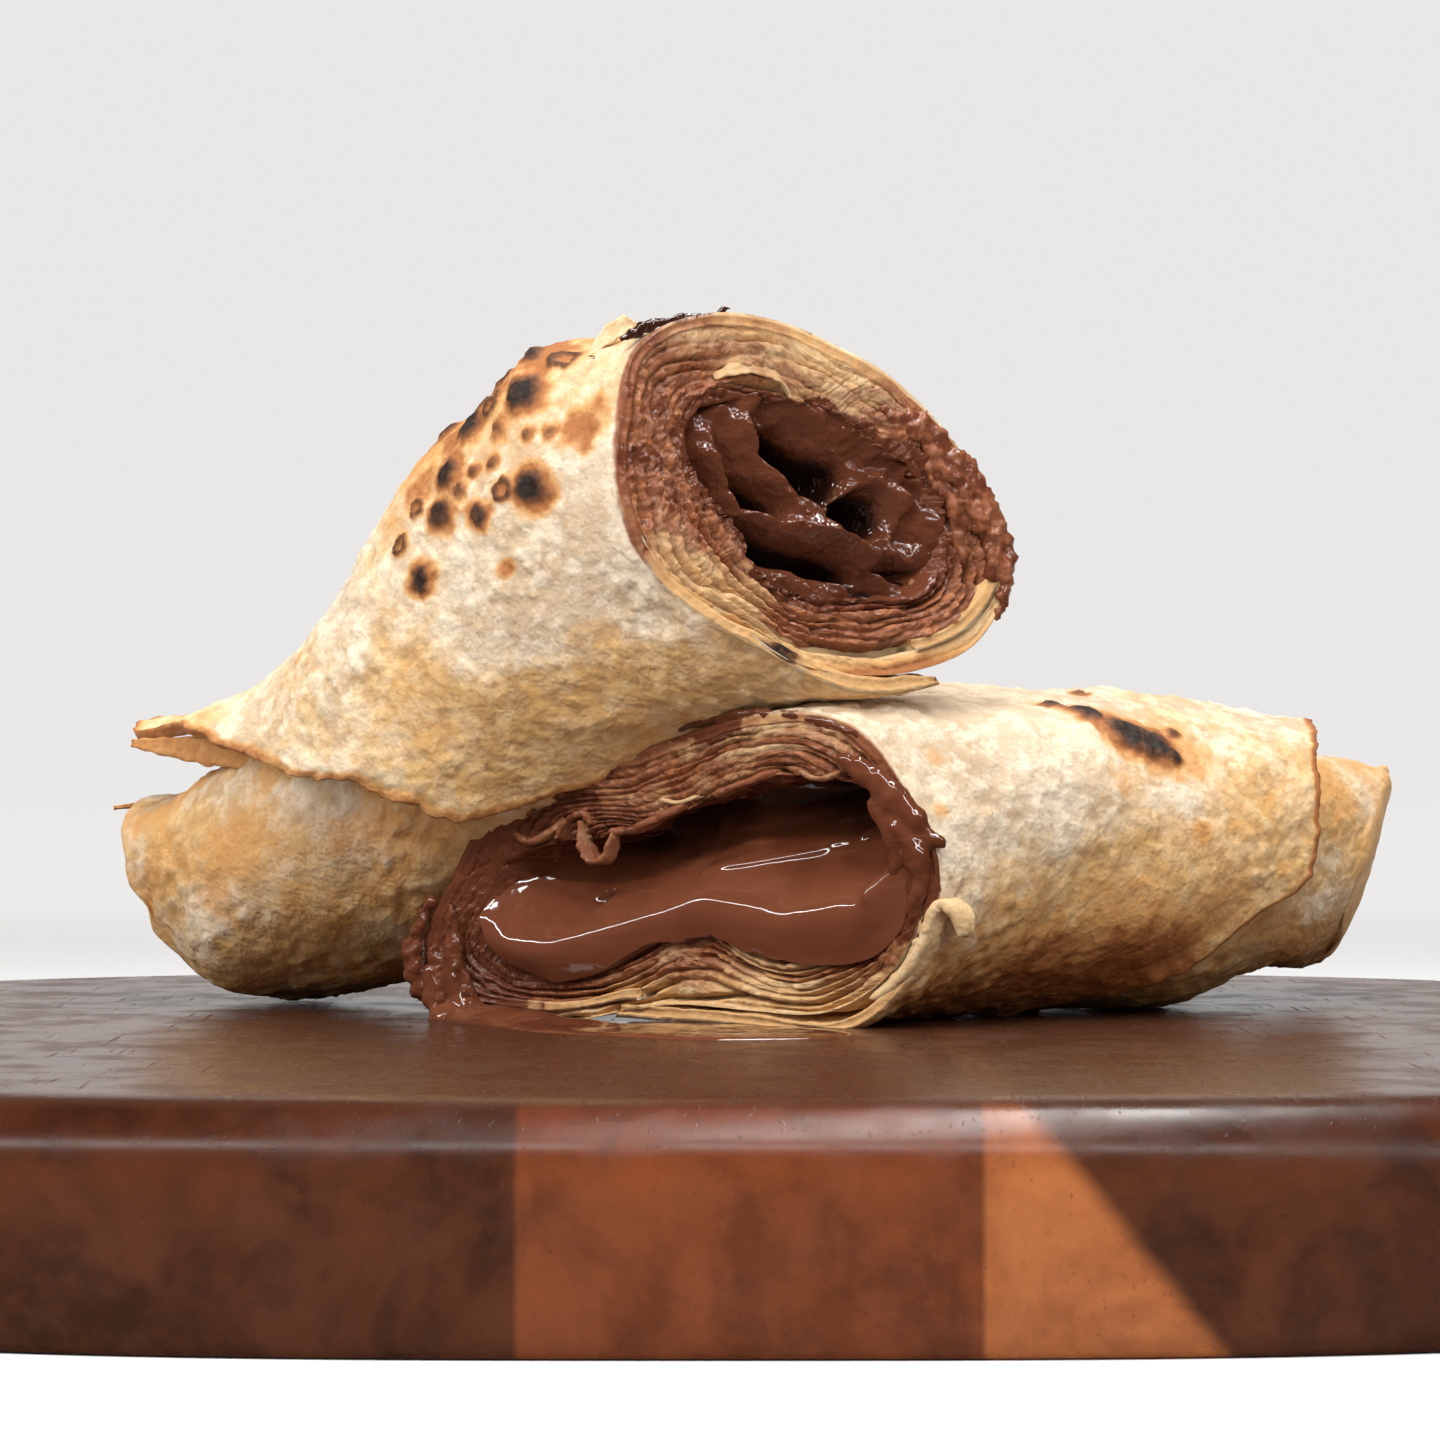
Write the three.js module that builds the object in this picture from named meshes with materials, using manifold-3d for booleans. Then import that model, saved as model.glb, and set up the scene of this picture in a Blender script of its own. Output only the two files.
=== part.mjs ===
// A chocolate chapati: a round flatbread spread with chocolate, rolled up, cut slantwise in two
// and served on a wooden board, with one half leaning on the other.
// Millimetres, +Z up, +Y away from the viewer. The origin is the middle of the board's underside.
import * as THREE from "three";
import { mergeVertices } from "three/addons/utils/BufferGeometryUtils.js";
import Module from "manifold-3d";

const wasm = await Module();
wasm.setup();

// ---- Driving dimensions ---------------------------------------------------------------------
const BOARD_LENGTH = 340;
const BOARD_DEPTH = 290;
const BOARD_THICKNESS = 30;
const BOARD_SQUARENESS = 3; // 2 is an oval, higher is squarer
const SHEET = 2.2; // thickness of the flatbread
const TURN_STEP = 1.8; // how much smaller the roll is one turn further in
const TOUCH = 0.35; // gap kept between pieces that touch
const FILLING_GAP = 1.1; // between the filling and the bread round it
const ROLL_LENGTH = 124; // of each half, along its middle
const COLUMNS = 40; // points round a roll
const LAMINAE = 3; // layers of bread that show in the cut, as relief
const LAMINA_RELIEF = 1.3;
const UNDULATION = 0.55; // unevenness of the skin

const DEG = Math.PI / 180;
const TURN = 2 * Math.PI;
const V = (x, y, z) => new THREE.Vector3(x, y, z);
const clamp01 = (x) => Math.min(Math.max(x, 0), 1);
const smooth = (x) => clamp01(x) ** 2 * (3 - 2 * clamp01(x));
const steps = (n) => Array.from({ length: n + 1 }, (_, i) => i / n);
const bump = (x, centre, width) => Math.exp(-(((x - centre) / width) ** 2));

// Catmull-Rom value between b and c.
const blend = (a, b, c, d, f) =>
  b + 0.5 * f * (c - a + f * (2 * a - 5 * b + 4 * c - d + f * (3 * (b - c) + d - a)));

// ---- Outlines and lofts ---------------------------------------------------------------------
// A station is a closed outline: radii at equal angles about a centre. Angle 0 points across the
// roll, to the right as its cut face is seen, and 90 degrees points up.
const station = (at, centre, across, up, radii) => ({
  at,
  centre: V(...centre),
  across: V(...across).normalize(),
  up: V(...up).normalize(),
  radii,
});

// Radii of a rounded oval, with its own reach to the right, left, up and down.
function oval(right, left, up, down, squareness = 2.3, count = 18) {
  return Array.from({ length: count }, (_, i) => {
    const c = Math.cos((i * TURN) / count);
    const s = Math.sin((i * TURN) / count);
    const x = Math.abs(c / (c >= 0 ? right : left)) ** squareness;
    const y = Math.abs(s / (s >= 0 ? up : down)) ** squareness;
    return (x + y) ** (-1 / squareness);
  });
}

function radiusAt(radii, angle) {
  const n = radii.length;
  const x = ((((angle / TURN) % 1) + 1) % 1) * n;
  const i = Math.floor(x);
  const [a, b, c, d] = [-1, 0, 1, 2].map((k) => radii[(i + k + n) % n]);
  return blend(a, b, c, d, x - i);
}

function outlinePoint(st, angle, inset = 0, scale = 1) {
  const r = Math.max(radiusAt(st.radii, angle) - inset, 0) * scale;
  return st.centre
    .clone()
    .addScaledVector(st.across, r * Math.cos(angle))
    .addScaledVector(st.up, r * Math.sin(angle));
}

function loftPoint(stations, angle, at, inset = 0, scale = 1) {
  const last = stations.length - 1;
  let k = 0;
  while (k < last - 1 && at > stations[k + 1].at) k += 1;
  const f = (at - stations[k].at) / (stations[k + 1].at - stations[k].at);
  const p = [-1, 0, 1, 2].map((o) =>
    outlinePoint(stations[Math.min(Math.max(k + o, 0), last)], angle, inset, scale),
  );
  return V(...["x", "y", "z"].map((q) => blend(p[0][q], p[1][q], p[2][q], p[3][q], f)));
}

// Slow unevenness of a rolled skin, as an inset.
const waver = (angle, at, seed) =>
  UNDULATION *
  smooth(at * 6) *
  (Math.sin(3 * angle + 9 * at + seed) + 0.7 * Math.sin(5 * angle - 14 * at + 2 * seed));

// Value of a table of [angle in degrees, value] pairs, in rising order of angle.
function tableAt(table, degrees) {
  let k = 0;
  while (k < table.length - 2 && degrees > table[k + 1][0]) k += 1;
  const [[x0, y0], [x1, y1]] = [table[k], table[k + 1]];
  return y0 + (y1 - y0) * clamp01((degrees - x0) / (x1 - x0));
}

// ---- Closed bodies from grids ---------------------------------------------------------------
function solid(points, triangles) {
  const position = new Float32Array(points.flatMap((p) => [p.x, p.y, p.z]));
  let volume = 0;
  for (const [a, b, c] of triangles) {
    volume += points[a].dot(points[b].clone().cross(points[c]));
  }
  const facing = volume > 0 ? triangles : triangles.map(([a, b, c]) => [a, c, b]);
  const mesh = new wasm.Mesh({
    numProp: 3,
    vertProperties: position,
    triVerts: new Uint32Array(facing.flat()),
  });
  return new wasm.Manifold(mesh);
}

// Rings of equal length between two poles.
function ringBody(startPole, rings, endPole) {
  const n = rings[0].length;
  const points = [startPole, ...rings.flat(), endPole];
  const id = (r, i) => 1 + r * n + (i % n);
  const triangles = [];
  for (let i = 0; i < n; i += 1) {
    triangles.push([0, id(0, i), id(0, i + 1)]);
    triangles.push([id(rings.length - 1, i + 1), id(rings.length - 1, i), points.length - 1]);
    for (let r = 0; r + 1 < rings.length; r += 1) {
      triangles.push([id(r, i), id(r + 1, i), id(r + 1, i + 1)]);
      triangles.push([id(r, i), id(r + 1, i + 1), id(r, i + 1)]);
    }
  }
  return solid(points, triangles);
}

// A thick sheet between two grids of points with the same rows and columns.
function sheetBody(outer, inner) {
  const rows = outer.length;
  const cols = outer[0].length;
  const points = [...outer.flat(), ...inner.flat()];
  const id = (side, r, c) => side * rows * cols + r * cols + c;
  const triangles = [];
  const quad = (a, b, c, d) => triangles.push([a, b, c], [a, c, d]);
  for (let r = 0; r + 1 < rows; r += 1) {
    for (let c = 0; c + 1 < cols; c += 1) {
      quad(id(0, r, c), id(0, r + 1, c), id(0, r + 1, c + 1), id(0, r, c + 1));
      quad(id(1, r, c), id(1, r, c + 1), id(1, r + 1, c + 1), id(1, r + 1, c));
    }
    quad(id(0, r, 0), id(1, r, 0), id(1, r + 1, 0), id(0, r + 1, 0));
    quad(id(0, r, cols - 1), id(0, r + 1, cols - 1), id(1, r + 1, cols - 1), id(1, r, cols - 1));
  }
  for (let c = 0; c + 1 < cols; c += 1) {
    quad(id(0, 0, c), id(0, 0, c + 1), id(1, 0, c + 1), id(1, 0, c));
    quad(id(0, rows - 1, c), id(1, rows - 1, c), id(1, rows - 1, c + 1), id(0, rows - 1, c + 1));
  }
  return solid(points, triangles);
}

// Drops closed-off gaps and loose slivers: keeps the largest shell.
function mainShell(body) {
  const shells = body.decompose();
  return shells.reduce((a, b) => (b.volume() > a.volume() ? b : a));
}

// ---- The two halves -------------------------------------------------------------------------
const flat = (degrees) => V(Math.cos(degrees * DEG), Math.sin(degrees * DEG), 0);

// Lower half: lies on the board and runs away to the right from its cut.
const lowerAxis = flat(31);
const lowerAt = (along, rise = 0) => [
  -5.2 + lowerAxis.x * along,
  -4.3 + lowerAxis.y * along,
  52.5 + rise,
];
const upright = [0, 0, 1];
const lower = {
  axis: lowerAxis,
  seed: 0.4,
  skin: [
    station(0, lowerAt(0), [0.94, -0.342, 0], upright, [
      38.9, 36.4, 33.9, 27.2, 21.8, 19.5, 19.9, 23.3, 31.3, 36.7, 44.5, 34.6, 25.2, 22.4, 22.5,
      25.6, 32.6, 37.3,
    ]),
    station(0.35, lowerAt(42, 2.3), [0.8, -0.6, 0], upright, oval(31, 31, 25.2, 24.3)),
    station(0.7, lowerAt(84, 1.5), [0.45, -0.89, 0], upright, oval(29, 30, 24.2, 23.3)),
    station(1, lowerAt(120, -0.5), [0.05, -1, 0], [0.08, 0, 1], oval(29, 27, 22, 20)),
  ],
  core: [
    station(0.35, lowerAt(42, 2), [0.8, -0.6, 0], upright, oval(29.1, 29.1, 23.4, 22.6)),
    station(0.7, lowerAt(88, 0.5), [0.45, -0.89, 0], upright, oval(26, 27, 21, 22)),
    station(1, lowerAt(125, -1), [-0.08, -1, 0], [0.3, 0.1, 0.93], oval(22, 22, 17, 16)),
  ],
  hollow: [
    station(0, lowerAt(0), [0.94, -0.342, 0], upright, [
      35, 32, 22.8, 14, 10.4, 9.6, 10.1, 11.5, 15.4, 32.9, 33.7, 25.8, 12.8, 10.4, 9.8, 11.3, 20,
      32,
    ]),
    station(0.3, lowerAt(36, 1), [0.8, -0.6, 0], upright, oval(20, 20, 13, 13)),
    station(0.6, lowerAt(74, 0), [0.5, -0.86, 0], upright, oval(16, 16, 10, 11)),
    station(0.86, lowerAt(105, -1), [0.1, -1, 0], upright, oval(12, 12, 8, 8)),
  ],
  // Free edge of the outermost turn: [angle, how far along the roll it reaches].
  edge: [
    [-102, 0.012],
    [-97, 0.16],
    [-85, 0.3],
    [-60, 0.43],
    [-39, 0.55],
    [-31, 0.63],
    [-18, 0.76],
    [-8, 0.83],
    [6, 0.862],
    [24, 0.865],
    [60, 0.9],
    [98, 0.945],
    [180, 0.94],
    [248, 0.9],
  ],
  // How far that edge stands off, and the curl beside the cut.
  lift: (degrees, at) =>
    2.2 * bump(degrees, -38, 24) * (1 - smooth(at / 0.16)) + 0.8 * bump(degrees, -28, 26) * at,
  covered: (degrees) => 1 - smooth((degrees - 160) / 60) * (1 - smooth((degrees - 252) / 20)),
};

// Upper half: its cut end rests on the lower half and it bends down to the board, to the left.
const upperRun = V(-0.826, 0.564, 0);
const tilted = (degrees) => {
  const up = upperRun.clone().multiplyScalar(Math.sin(degrees * DEG));
  return [up.x, up.y, Math.cos(degrees * DEG)];
};
const upper = {
  axis: V(-0.8, 0.56, -0.21).normalize(),
  seed: 2.1,
  skin: [
    station(0, [14, -7, 108], [0.94, 0.342, 0], [-0.048, 0.131, 0.99], [
      27.5, 24.2, 22.5, 22.3, 23.2, 26.4, 30.9, 34.2, 31.9, 30.8, 29.0, 26.7, 25.1, 25.3, 27.1,
      30.0, 33.0, 32.5,
    ]),
    station(0.29, [-17.5, 13.5, 101], [0.72, 0.69, 0], tilted(36), oval(27, 29, 26, 35, 2.2)),
    station(0.64, [-47, 34.5, 66], [0.6, 0.8, 0], tilted(30), oval(26, 27, 26, 28, 2.2)),
    station(0.85, [-72, 51, 51.5], [0.57, 0.82, 0], tilted(17), oval(24, 25, 27.5, 21.5, 2.2)),
    station(1, [-87.5, 61.5, 48.5], [0.57, 0.82, 0], tilted(12), oval(22, 22, 26, 19, 2.2)),
  ],
  core: [
    station(0.29, [-17.5, 13.5, 101], [0.72, 0.69, 0], tilted(36), oval(25.2, 27.2, 24.2, 33.5, 2.2)),
    station(0.64, [-47, 34.5, 65], [0.6, 0.8, 0], tilted(30), oval(24, 25, 23, 27, 2.2)),
    station(0.85, [-70, 50, 48.8], [0.57, 0.82, 0], tilted(20), oval(22, 23, 19, 18.4)),
    station(1, [-82, 58, 47.2], [0.57, 0.82, 0], [-0.43, 0.15, 0.88], oval(19, 17, 17, 16.4, 2.5)),
  ],
  hollow: [
    station(0, [14, -7, 108], [0.94, 0.342, 0], [-0.048, 0.131, 0.99], [
      20.3, 16.1, 13.6, 13.5, 14.1, 14.9, 17.1, 21.0, 20.4, 15.7, 12.8, 13.8, 15.0, 15.2, 16.0,
      18.3, 22.6, 23.0,
    ]),
    station(0.29, [-17.5, 13.5, 100], [0.72, 0.69, 0], tilted(36), oval(15, 16, 13, 16, 2.2)),
    station(0.64, [-47, 34.5, 65], [0.6, 0.8, 0], tilted(30), oval(13, 13, 11, 13, 2.2)),
    station(0.86, [-69, 49.5, 49], [0.57, 0.82, 0], tilted(20), oval(10, 10, 8, 8)),
  ],
  edge: [
    [-57, 0.9],
    [0, 0.95],
    [60, 0.965],
    [104, 0.96],
    [116, 0.935],
    [126, 0.825],
    [143, 0.75],
    [159, 0.69],
    [177, 0.64],
    [194, 0.575],
    [210, 0.535],
    [232, 0.485],
    [250, 0.4],
    [270, 0.29],
    [292, 0.15],
    [303, 0.012],
  ],
  lift: (degrees, at) =>
    3.4 * smooth((degrees - 246) / 40) * (1 - smooth(at / 0.34)) +
    2 * smooth((degrees - 110) / 40) * smooth((at - 0.4) / 0.2) * (1 - smooth((degrees - 225) / 30)),
  covered: (degrees) => 1 - smooth((degrees - 236) / 24) * (1 - smooth((degrees - 330) / 30)),
};

// The chocolate's face at each cut: how deep it lies behind the cut, at (u across, v up).
const strokeDistance = (u, v, path) => {
  let best = Infinity;
  for (let i = 0; i + 1 < path.length; i += 1) {
    const [[x0, y0], [x1, y1]] = [path[i], path[i + 1]];
    const f = clamp01(((u - x0) * (x1 - x0) + (v - y0) * (y1 - y0)) / ((x1 - x0) ** 2 + (y1 - y0) ** 2));
    best = Math.min(best, Math.hypot(u - x0 - f * (x1 - x0), v - y0 - f * (y1 - y0)));
  }
  return best;
};

// Front lip of the runny pool in the lower half, [across, height].
const lowerLip = [
  [-33, -7],
  [-20, -10.6],
  [-10, -7.5],
  [2, -3.6],
  [15, -5.7],
  [27, -4],
  [35, 4],
];
lower.faceDepth = (u, v) => {
  const rise = Math.max(v - tableAt(lowerLip, u), 0);
  const pool = -0.6 + 1.05 * rise + 0.05 * rise ** 2;
  const blob = 2.2 * Math.exp(-(((u + 21) / 8) ** 2) - ((v + 11) / 5) ** 2);
  const spill = smooth((u - 26) / 6);
  return (Math.min(pool, 24) - blob) * (1 - spill) - 0.4 * spill;
};

// Folds of stiffer filling in the upper half: ridges stand out, holes go in.
const upperStrokes = [
  [-3, 2.6, [[-8.4, 14.7], [-9.7, 9.5], [-6.8, 5.8], [-0.9, -0.8], [2.1, -3.7]]],
  [-3, 2.2, [[-10.9, 2], [-9.3, -2.4], [5.2, -5.2], [11.3, -9.6]]],
  [7, 2.6, [[-18.9, 10], [-17.7, 6.3], [-13, 0]]],
  [7, 2.4, [[-9, 2.2], [-3, -0.8]]],
  [10, 3.4, [[-3, 9.5], [2.6, 5], [6.5, 3.8]]],
  [5, 2.2, [[-10.5, -5.8], [-1.3, -9], [10, -12]]],
  [10, 3.2, [[11, -2.1], [11.8, -2.1]]],
];
upper.faceDepth = (u, v) => {
  const folds = upperStrokes.map(
    ([deep, half, path]) => deep * Math.exp(-((strokeDistance(u, v, path) / half) ** 2)),
  );
  return 2.4 + folds.reduce((a, b) => a + b, 0);
};

const angles = steps(COLUMNS)
  .slice(0, COLUMNS)
  .map((x) => x * TURN);

// The roll under its outermost turn, at the cut: smaller by one step, except where that turn
// peels off or passes under itself.
function complete(half) {
  const cut = half.skin[0];
  const radii = cut.radii.map((r, i) => r - TURN_STEP * half.covered((i * 360) / 18));
  half.core.unshift({ ...cut, radii });
}

// Bread under the outermost turn, hollow for the filling, closed at its far end.
function coreBody(half, grow = 0) {
  const end = half.core[half.core.length - 1];
  const cap = [0.35, 0.65, 0.86].map((s) =>
    angles.map((a) =>
      outlinePoint(end, a, -grow, s).addScaledVector(half.axis, 4 * Math.sqrt(1 - s * s)),
    ),
  );
  const skin = steps(10).map((x) =>
    angles.map((a) => loftPoint(half.core, a, 1 - x, waver(a, 1 - x, half.seed) - grow)),
  );
  const pole = end.centre.clone().addScaledVector(half.axis, 4.4);
  if (grow > 0) {
    return ringBody(pole, [...cap, ...skin], half.skin[0].centre.clone());
  }
  const rings = 2 * LAMINAE + 1;
  const rim = steps(rings)
    .slice(1)
    .map((f) =>
      angles.map((a) => {
        const outside = outlinePoint(half.core[0], a);
        const inside = outlinePoint(half.hollow[0], a);
        const groove = Math.round(f * rings) % 2 ? LAMINA_RELIEF : -0.2;
        return outside.lerp(inside, f).addScaledVector(half.axis, groove + 1.2 * f * f);
      }),
    );
  const hollow = [0.06, 0.15, 0.3, 0.5, 0.7, 0.86].map((t) => angles.map((a) => loftPoint(half.hollow, a, t)));
  const floor = half.hollow[half.hollow.length - 1].centre.clone().addScaledVector(half.axis, 2);
  return ringBody(pole, [...cap, ...skin, ...rim, ...hollow], floor);
}

// The outermost turn of the sheet, from its free edge round to where it passes under itself.
function turnBody(half, grow = 0) {
  const first = half.edge[0][0];
  const last = half.edge[half.edge.length - 1][0];
  const tipFirst = half.edge[0][1] < 0.1;
  const columns = 34;
  const side = (inset) =>
    steps(columns).map((x) => {
      const u = x ** 1.35;
      const degrees = tipFirst ? first + u * (last - first) : last - u * (last - first);
      const reach = tableAt(half.edge, degrees);
      const under = 2.6 * smooth((u - 0.8) / 0.2);
      return steps(7).map((y) => {
        const at = y * reach;
        const a = degrees * DEG;
        const out = half.lift(degrees, at) - under - waver(a, at, half.seed);
        return loftPoint(half.skin, a, at, inset - out - grow);
      });
    });
  return sheetBody(side(0), side(SHEET + 2 * grow));
}

const chapati = (half) => mainShell(wasm.Manifold.union(coreBody(half), turnBody(half)));

// Flattened where it lies on the board.
const resting = (body) => mainShell(body.trimByPlane([0, 0, 1], BOARD_THICKNESS + TOUCH));

const grown = (half) => wasm.Manifold.union(coreBody(half, TOUCH), turnBody(half, TOUCH));

// The filling, running through the roll inside its hollow.
function filling(half) {
  const cut = half.hollow[0];
  const faceAt = (a, scale) => {
    const offset = outlinePoint(cut, a, 0, scale).sub(cut.centre);
    return half.faceDepth(offset.dot(cut.across), offset.dot(cut.up));
  };
  const onFace = (a, scale) => {
    const depth = faceAt(a, scale);
    const p = loftPoint(half.hollow, a, Math.max(depth, 0) / ROLL_LENGTH, FILLING_GAP, scale);
    return p.addScaledVector(half.axis, Math.min(depth, 0));
  };
  const face = [0.13, 0.27, 0.41, 0.55, 0.7, 0.85, 1].map((s) => angles.map((a) => onFace(a, s)));
  const wall = [0.12, 0.3, 0.55, 0.8].map((x) =>
    angles.map((a) => {
      const start = Math.max(faceAt(a, 1), 0) / ROLL_LENGTH;
      return loftPoint(half.hollow, a, start + x * (0.83 - start), FILLING_GAP + 1.2 * x);
    }),
  );
  const tail = half.hollow[half.hollow.length - 1].centre.clone();
  return ringBody(onFace(0, 0), [...face, ...wall], tail.addScaledVector(half.axis, -4));
}

// ---- The board ------------------------------------------------------------------------------
function boardBody() {
  const count = 56;
  // Profile of the rim, [inset, height], from the underside to the top.
  const profile = [
    [40, 0],
    [1.6, 0],
    [0.4, 1.2],
    [0, 8],
    [0, 19],
    [0.7, 23],
    [2.6, 26.6],
    [5.8, 29],
    [10, BOARD_THICKNESS],
    [60, BOARD_THICKNESS],
  ];
  const rings = profile.map(([inset, z]) =>
    steps(count)
      .slice(0, count)
      .map((x) => {
        const c = Math.cos(x * TURN);
        const s = Math.sin(x * TURN);
        const power = 2 / BOARD_SQUARENESS;
        return V(
          (BOARD_LENGTH / 2 - inset) * Math.sign(c) * Math.abs(c) ** power,
          (BOARD_DEPTH / 2 - inset) * Math.sign(s) * Math.abs(s) ** power,
          z,
        );
      }),
  );
  return ringBody(V(0, 0, 0), rings, V(0, 0, BOARD_THICKNESS));
}

// ---- Assembly -------------------------------------------------------------------------------
function geometryOf(body) {
  const { numProp, vertProperties, triVerts } = body.getMesh();
  const geometry = new THREE.BufferGeometry();
  const position = new Float32Array((vertProperties.length / numProp) * 3);
  for (let i = 0; i < position.length / 3; i += 1) {
    for (let k = 0; k < 3; k += 1) position[3 * i + k] = vertProperties[numProp * i + k];
  }
  geometry.setAttribute("position", new THREE.BufferAttribute(position, 3));
  geometry.setIndex(new THREE.BufferAttribute(new Uint32Array(triVerts), 1));
  return mergeVertices(geometry, 1e-4);
}

const group = new THREE.Group();
group.name = "chocolate_chapati";

function add(name, body, colour, roughness) {
  const material = new THREE.MeshStandardMaterial({ color: colour, roughness });
  const mesh = new THREE.Mesh(geometryOf(body), material);
  mesh.name = name;
  group.add(mesh);
}

complete(lower);
complete(upper);
const lowerRoll = resting(chapati(lower));
const upperRoll = resting(chapati(upper).subtract(grown(lower)));

add("board", boardBody(), 0x4a2416, 0.4);
add("lower_chapati", lowerRoll, 0xdcc196, 0.75);
add("lower_chocolate", filling(lower), 0x4a2113, 0.2);
add("upper_chapati", upperRoll, 0xdcc196, 0.75);
add("upper_chocolate", filling(upper), 0x4a2113, 0.25);

export default group;
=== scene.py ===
"""A chocolate chapati, rolled, cut slantwise in two and stacked on a wooden board.

Lengths in the shape functions are in millimetres, in the frame of the CAD model, and become
metres when a mesh is made.
"""
from itertools import product
import math

import bpy
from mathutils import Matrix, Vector
import numpy as np


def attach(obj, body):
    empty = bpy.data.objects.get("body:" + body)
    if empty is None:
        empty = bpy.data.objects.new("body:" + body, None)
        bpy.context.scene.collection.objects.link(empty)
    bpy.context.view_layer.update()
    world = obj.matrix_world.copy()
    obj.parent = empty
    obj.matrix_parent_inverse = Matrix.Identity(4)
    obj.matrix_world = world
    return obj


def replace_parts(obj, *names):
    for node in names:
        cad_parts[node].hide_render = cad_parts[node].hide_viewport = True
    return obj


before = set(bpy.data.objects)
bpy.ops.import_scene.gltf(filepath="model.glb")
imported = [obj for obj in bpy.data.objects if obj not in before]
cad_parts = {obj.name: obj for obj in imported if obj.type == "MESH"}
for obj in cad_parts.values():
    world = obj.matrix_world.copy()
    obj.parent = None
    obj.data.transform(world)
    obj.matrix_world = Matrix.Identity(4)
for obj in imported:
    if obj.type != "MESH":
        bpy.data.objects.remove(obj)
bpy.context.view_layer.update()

DEG = math.pi / 180
TURN = 2 * math.pi
TURN_STEP = 1.8      # how much smaller the roll is one turn further in
SHEET = 2.0          # thickness of the flatbread
UNDULATION = 0.55    # how far the roll's outline waves in and out
ROLL_LENGTH = 124.0  # of each half, from its cut to its far end
BOARD_TOP = 30.0     # height of the board
SPOKES = 18          # radii of a station, at equal angles


# ---- Small mathematics ------------------------------------------------------------------------
def lattice(ix, iy, iz, seed):
    """Three pseudo-random numbers from 0 to 1 for each lattice point."""
    h = (ix * 374761393 + iy * 668265263 + iz * 2147483647 + seed * 974634777) & 0xFFFFFFFF
    out = []
    for k in (1274126177, 2246822519, 3266489917):
        h = ((h ^ (h >> 13)) * k) & 0xFFFFFFFF
        out.append(((h ^ (h >> 16)) & 0xFFFF) / 65535.0)
    return out


def perlin(p, seed=0):
    """Gradient noise at points p (..., 3), about -1 to 1."""
    p = np.asarray(p, float)
    cell = np.floor(p).astype(np.int64)
    f = p - cell
    w = f * f * f * (f * (f * 6 - 15) + 10)
    total = np.zeros(p.shape[:-1])
    for corner in product((0, 1), repeat=3):
        slopes = lattice(*(cell[..., k] + corner[k] for k in range(3)), seed)
        x, y, z = ((slopes[k] * 2 - 1) * (f[..., k] - corner[k]) for k in range(3))
        a, b, c = (w[..., k] if corner[k] else 1 - w[..., k] for k in range(3))
        total += (x + y + z) * (a * b * c)
    return total * 1.3


def fbm(p, octaves=3, seed=0, gain=0.5):
    """Noise of several sizes together."""
    p = np.asarray(p, float)
    total, size = np.zeros(p.shape[:-1]), 1.0
    for k in range(octaves):
        total += size * perlin(p * 2.03 ** k + 7.1 * k, seed + k)
        size *= gain
    return total


def stack(*parts):
    return np.stack(np.broadcast_arrays(*parts), -1)


def smooth(x):
    """0 up to 0, 1 from 1, smooth between."""
    x = np.clip(x, 0.0, 1.0)
    return x * x * (3 - 2 * x)


def bell(x, centre, width):
    return np.exp(-(((x - centre) / width) ** 2))


def unit(v):
    v = np.asarray(v, float)
    return v / np.linalg.norm(v, axis=-1, keepdims=True)


def hermite(a, b, c, d, f):
    """A smooth curve through b and c, at fraction f between them."""
    return b + 0.5 * f * (c - a + f * (2 * a - 5 * b + 4 * c - d + f * (3 * (b - c) + d - a)))


# ---- The two halves ---------------------------------------------------------------------------
def station(at, centre, across, up, radii):
    """An outline across the roll, at a distance along it from 0 (cut) to 1 (far end)."""
    return {"at": at, "c": np.array(centre, float), "e1": unit(across), "e2": unit(up), "r": np.array(radii, float)}


def oval(right, left, up, down, squareness=2.3):
    a = np.arange(SPOKES) * TURN / SPOKES
    c, s = np.cos(a), np.sin(a)
    x = np.abs(c / np.where(c >= 0, right, left)) ** squareness
    y = np.abs(s / np.where(s >= 0, up, down)) ** squareness
    return (x + y) ** (-1 / squareness)


def radius_at(radii, angle):
    n = len(radii)
    x = (np.asarray(angle) / TURN) % 1.0 * n
    i = np.floor(x).astype(int)
    return hermite(*(radii[(i + k) % n] for k in (-1, 0, 1, 2)), x - i)


def outline(st, angle, inset=0.0, scale=1.0):
    r = (np.maximum(radius_at(st["r"], angle) - inset, 0) * scale)[..., None]
    angle = np.asarray(angle)[..., None]
    return st["c"] + r * (np.cos(angle) * st["e1"] + np.sin(angle) * st["e2"])


def loft(stations, angle, at, inset=0.0, scale=1.0):
    """Points of the surface through the stations; all arguments broadcast together."""
    angle, at, inset, scale = np.broadcast_arrays(angle, at, inset, scale)
    ats = np.array([s["at"] for s in stations])
    last = len(stations) - 1
    k = np.clip(np.searchsorted(ats, at, side="right") - 1, 0, last - 1)
    f = ((at - ats[k]) / (ats[k + 1] - ats[k]))[..., None]
    rings = np.stack([outline(s, angle, inset, scale) for s in stations])
    pick = [np.take_along_axis(rings, np.clip(k + o, 0, last)[None, ..., None], 0)[0] for o in (-1, 0, 1, 2)]
    return hermite(*pick, f)


def waver(angle, at, seed):
    """The gentle waves of a hand-rolled outline."""
    return UNDULATION * smooth(at * 6) * (
        np.sin(3 * angle + 9 * at + seed) + 0.7 * np.sin(5 * angle - 14 * at + 2 * seed))


LOWER_AXIS = np.array([math.cos(31 * DEG), math.sin(31 * DEG), 0.0])
UPRIGHT = (0, 0, 1)


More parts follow.
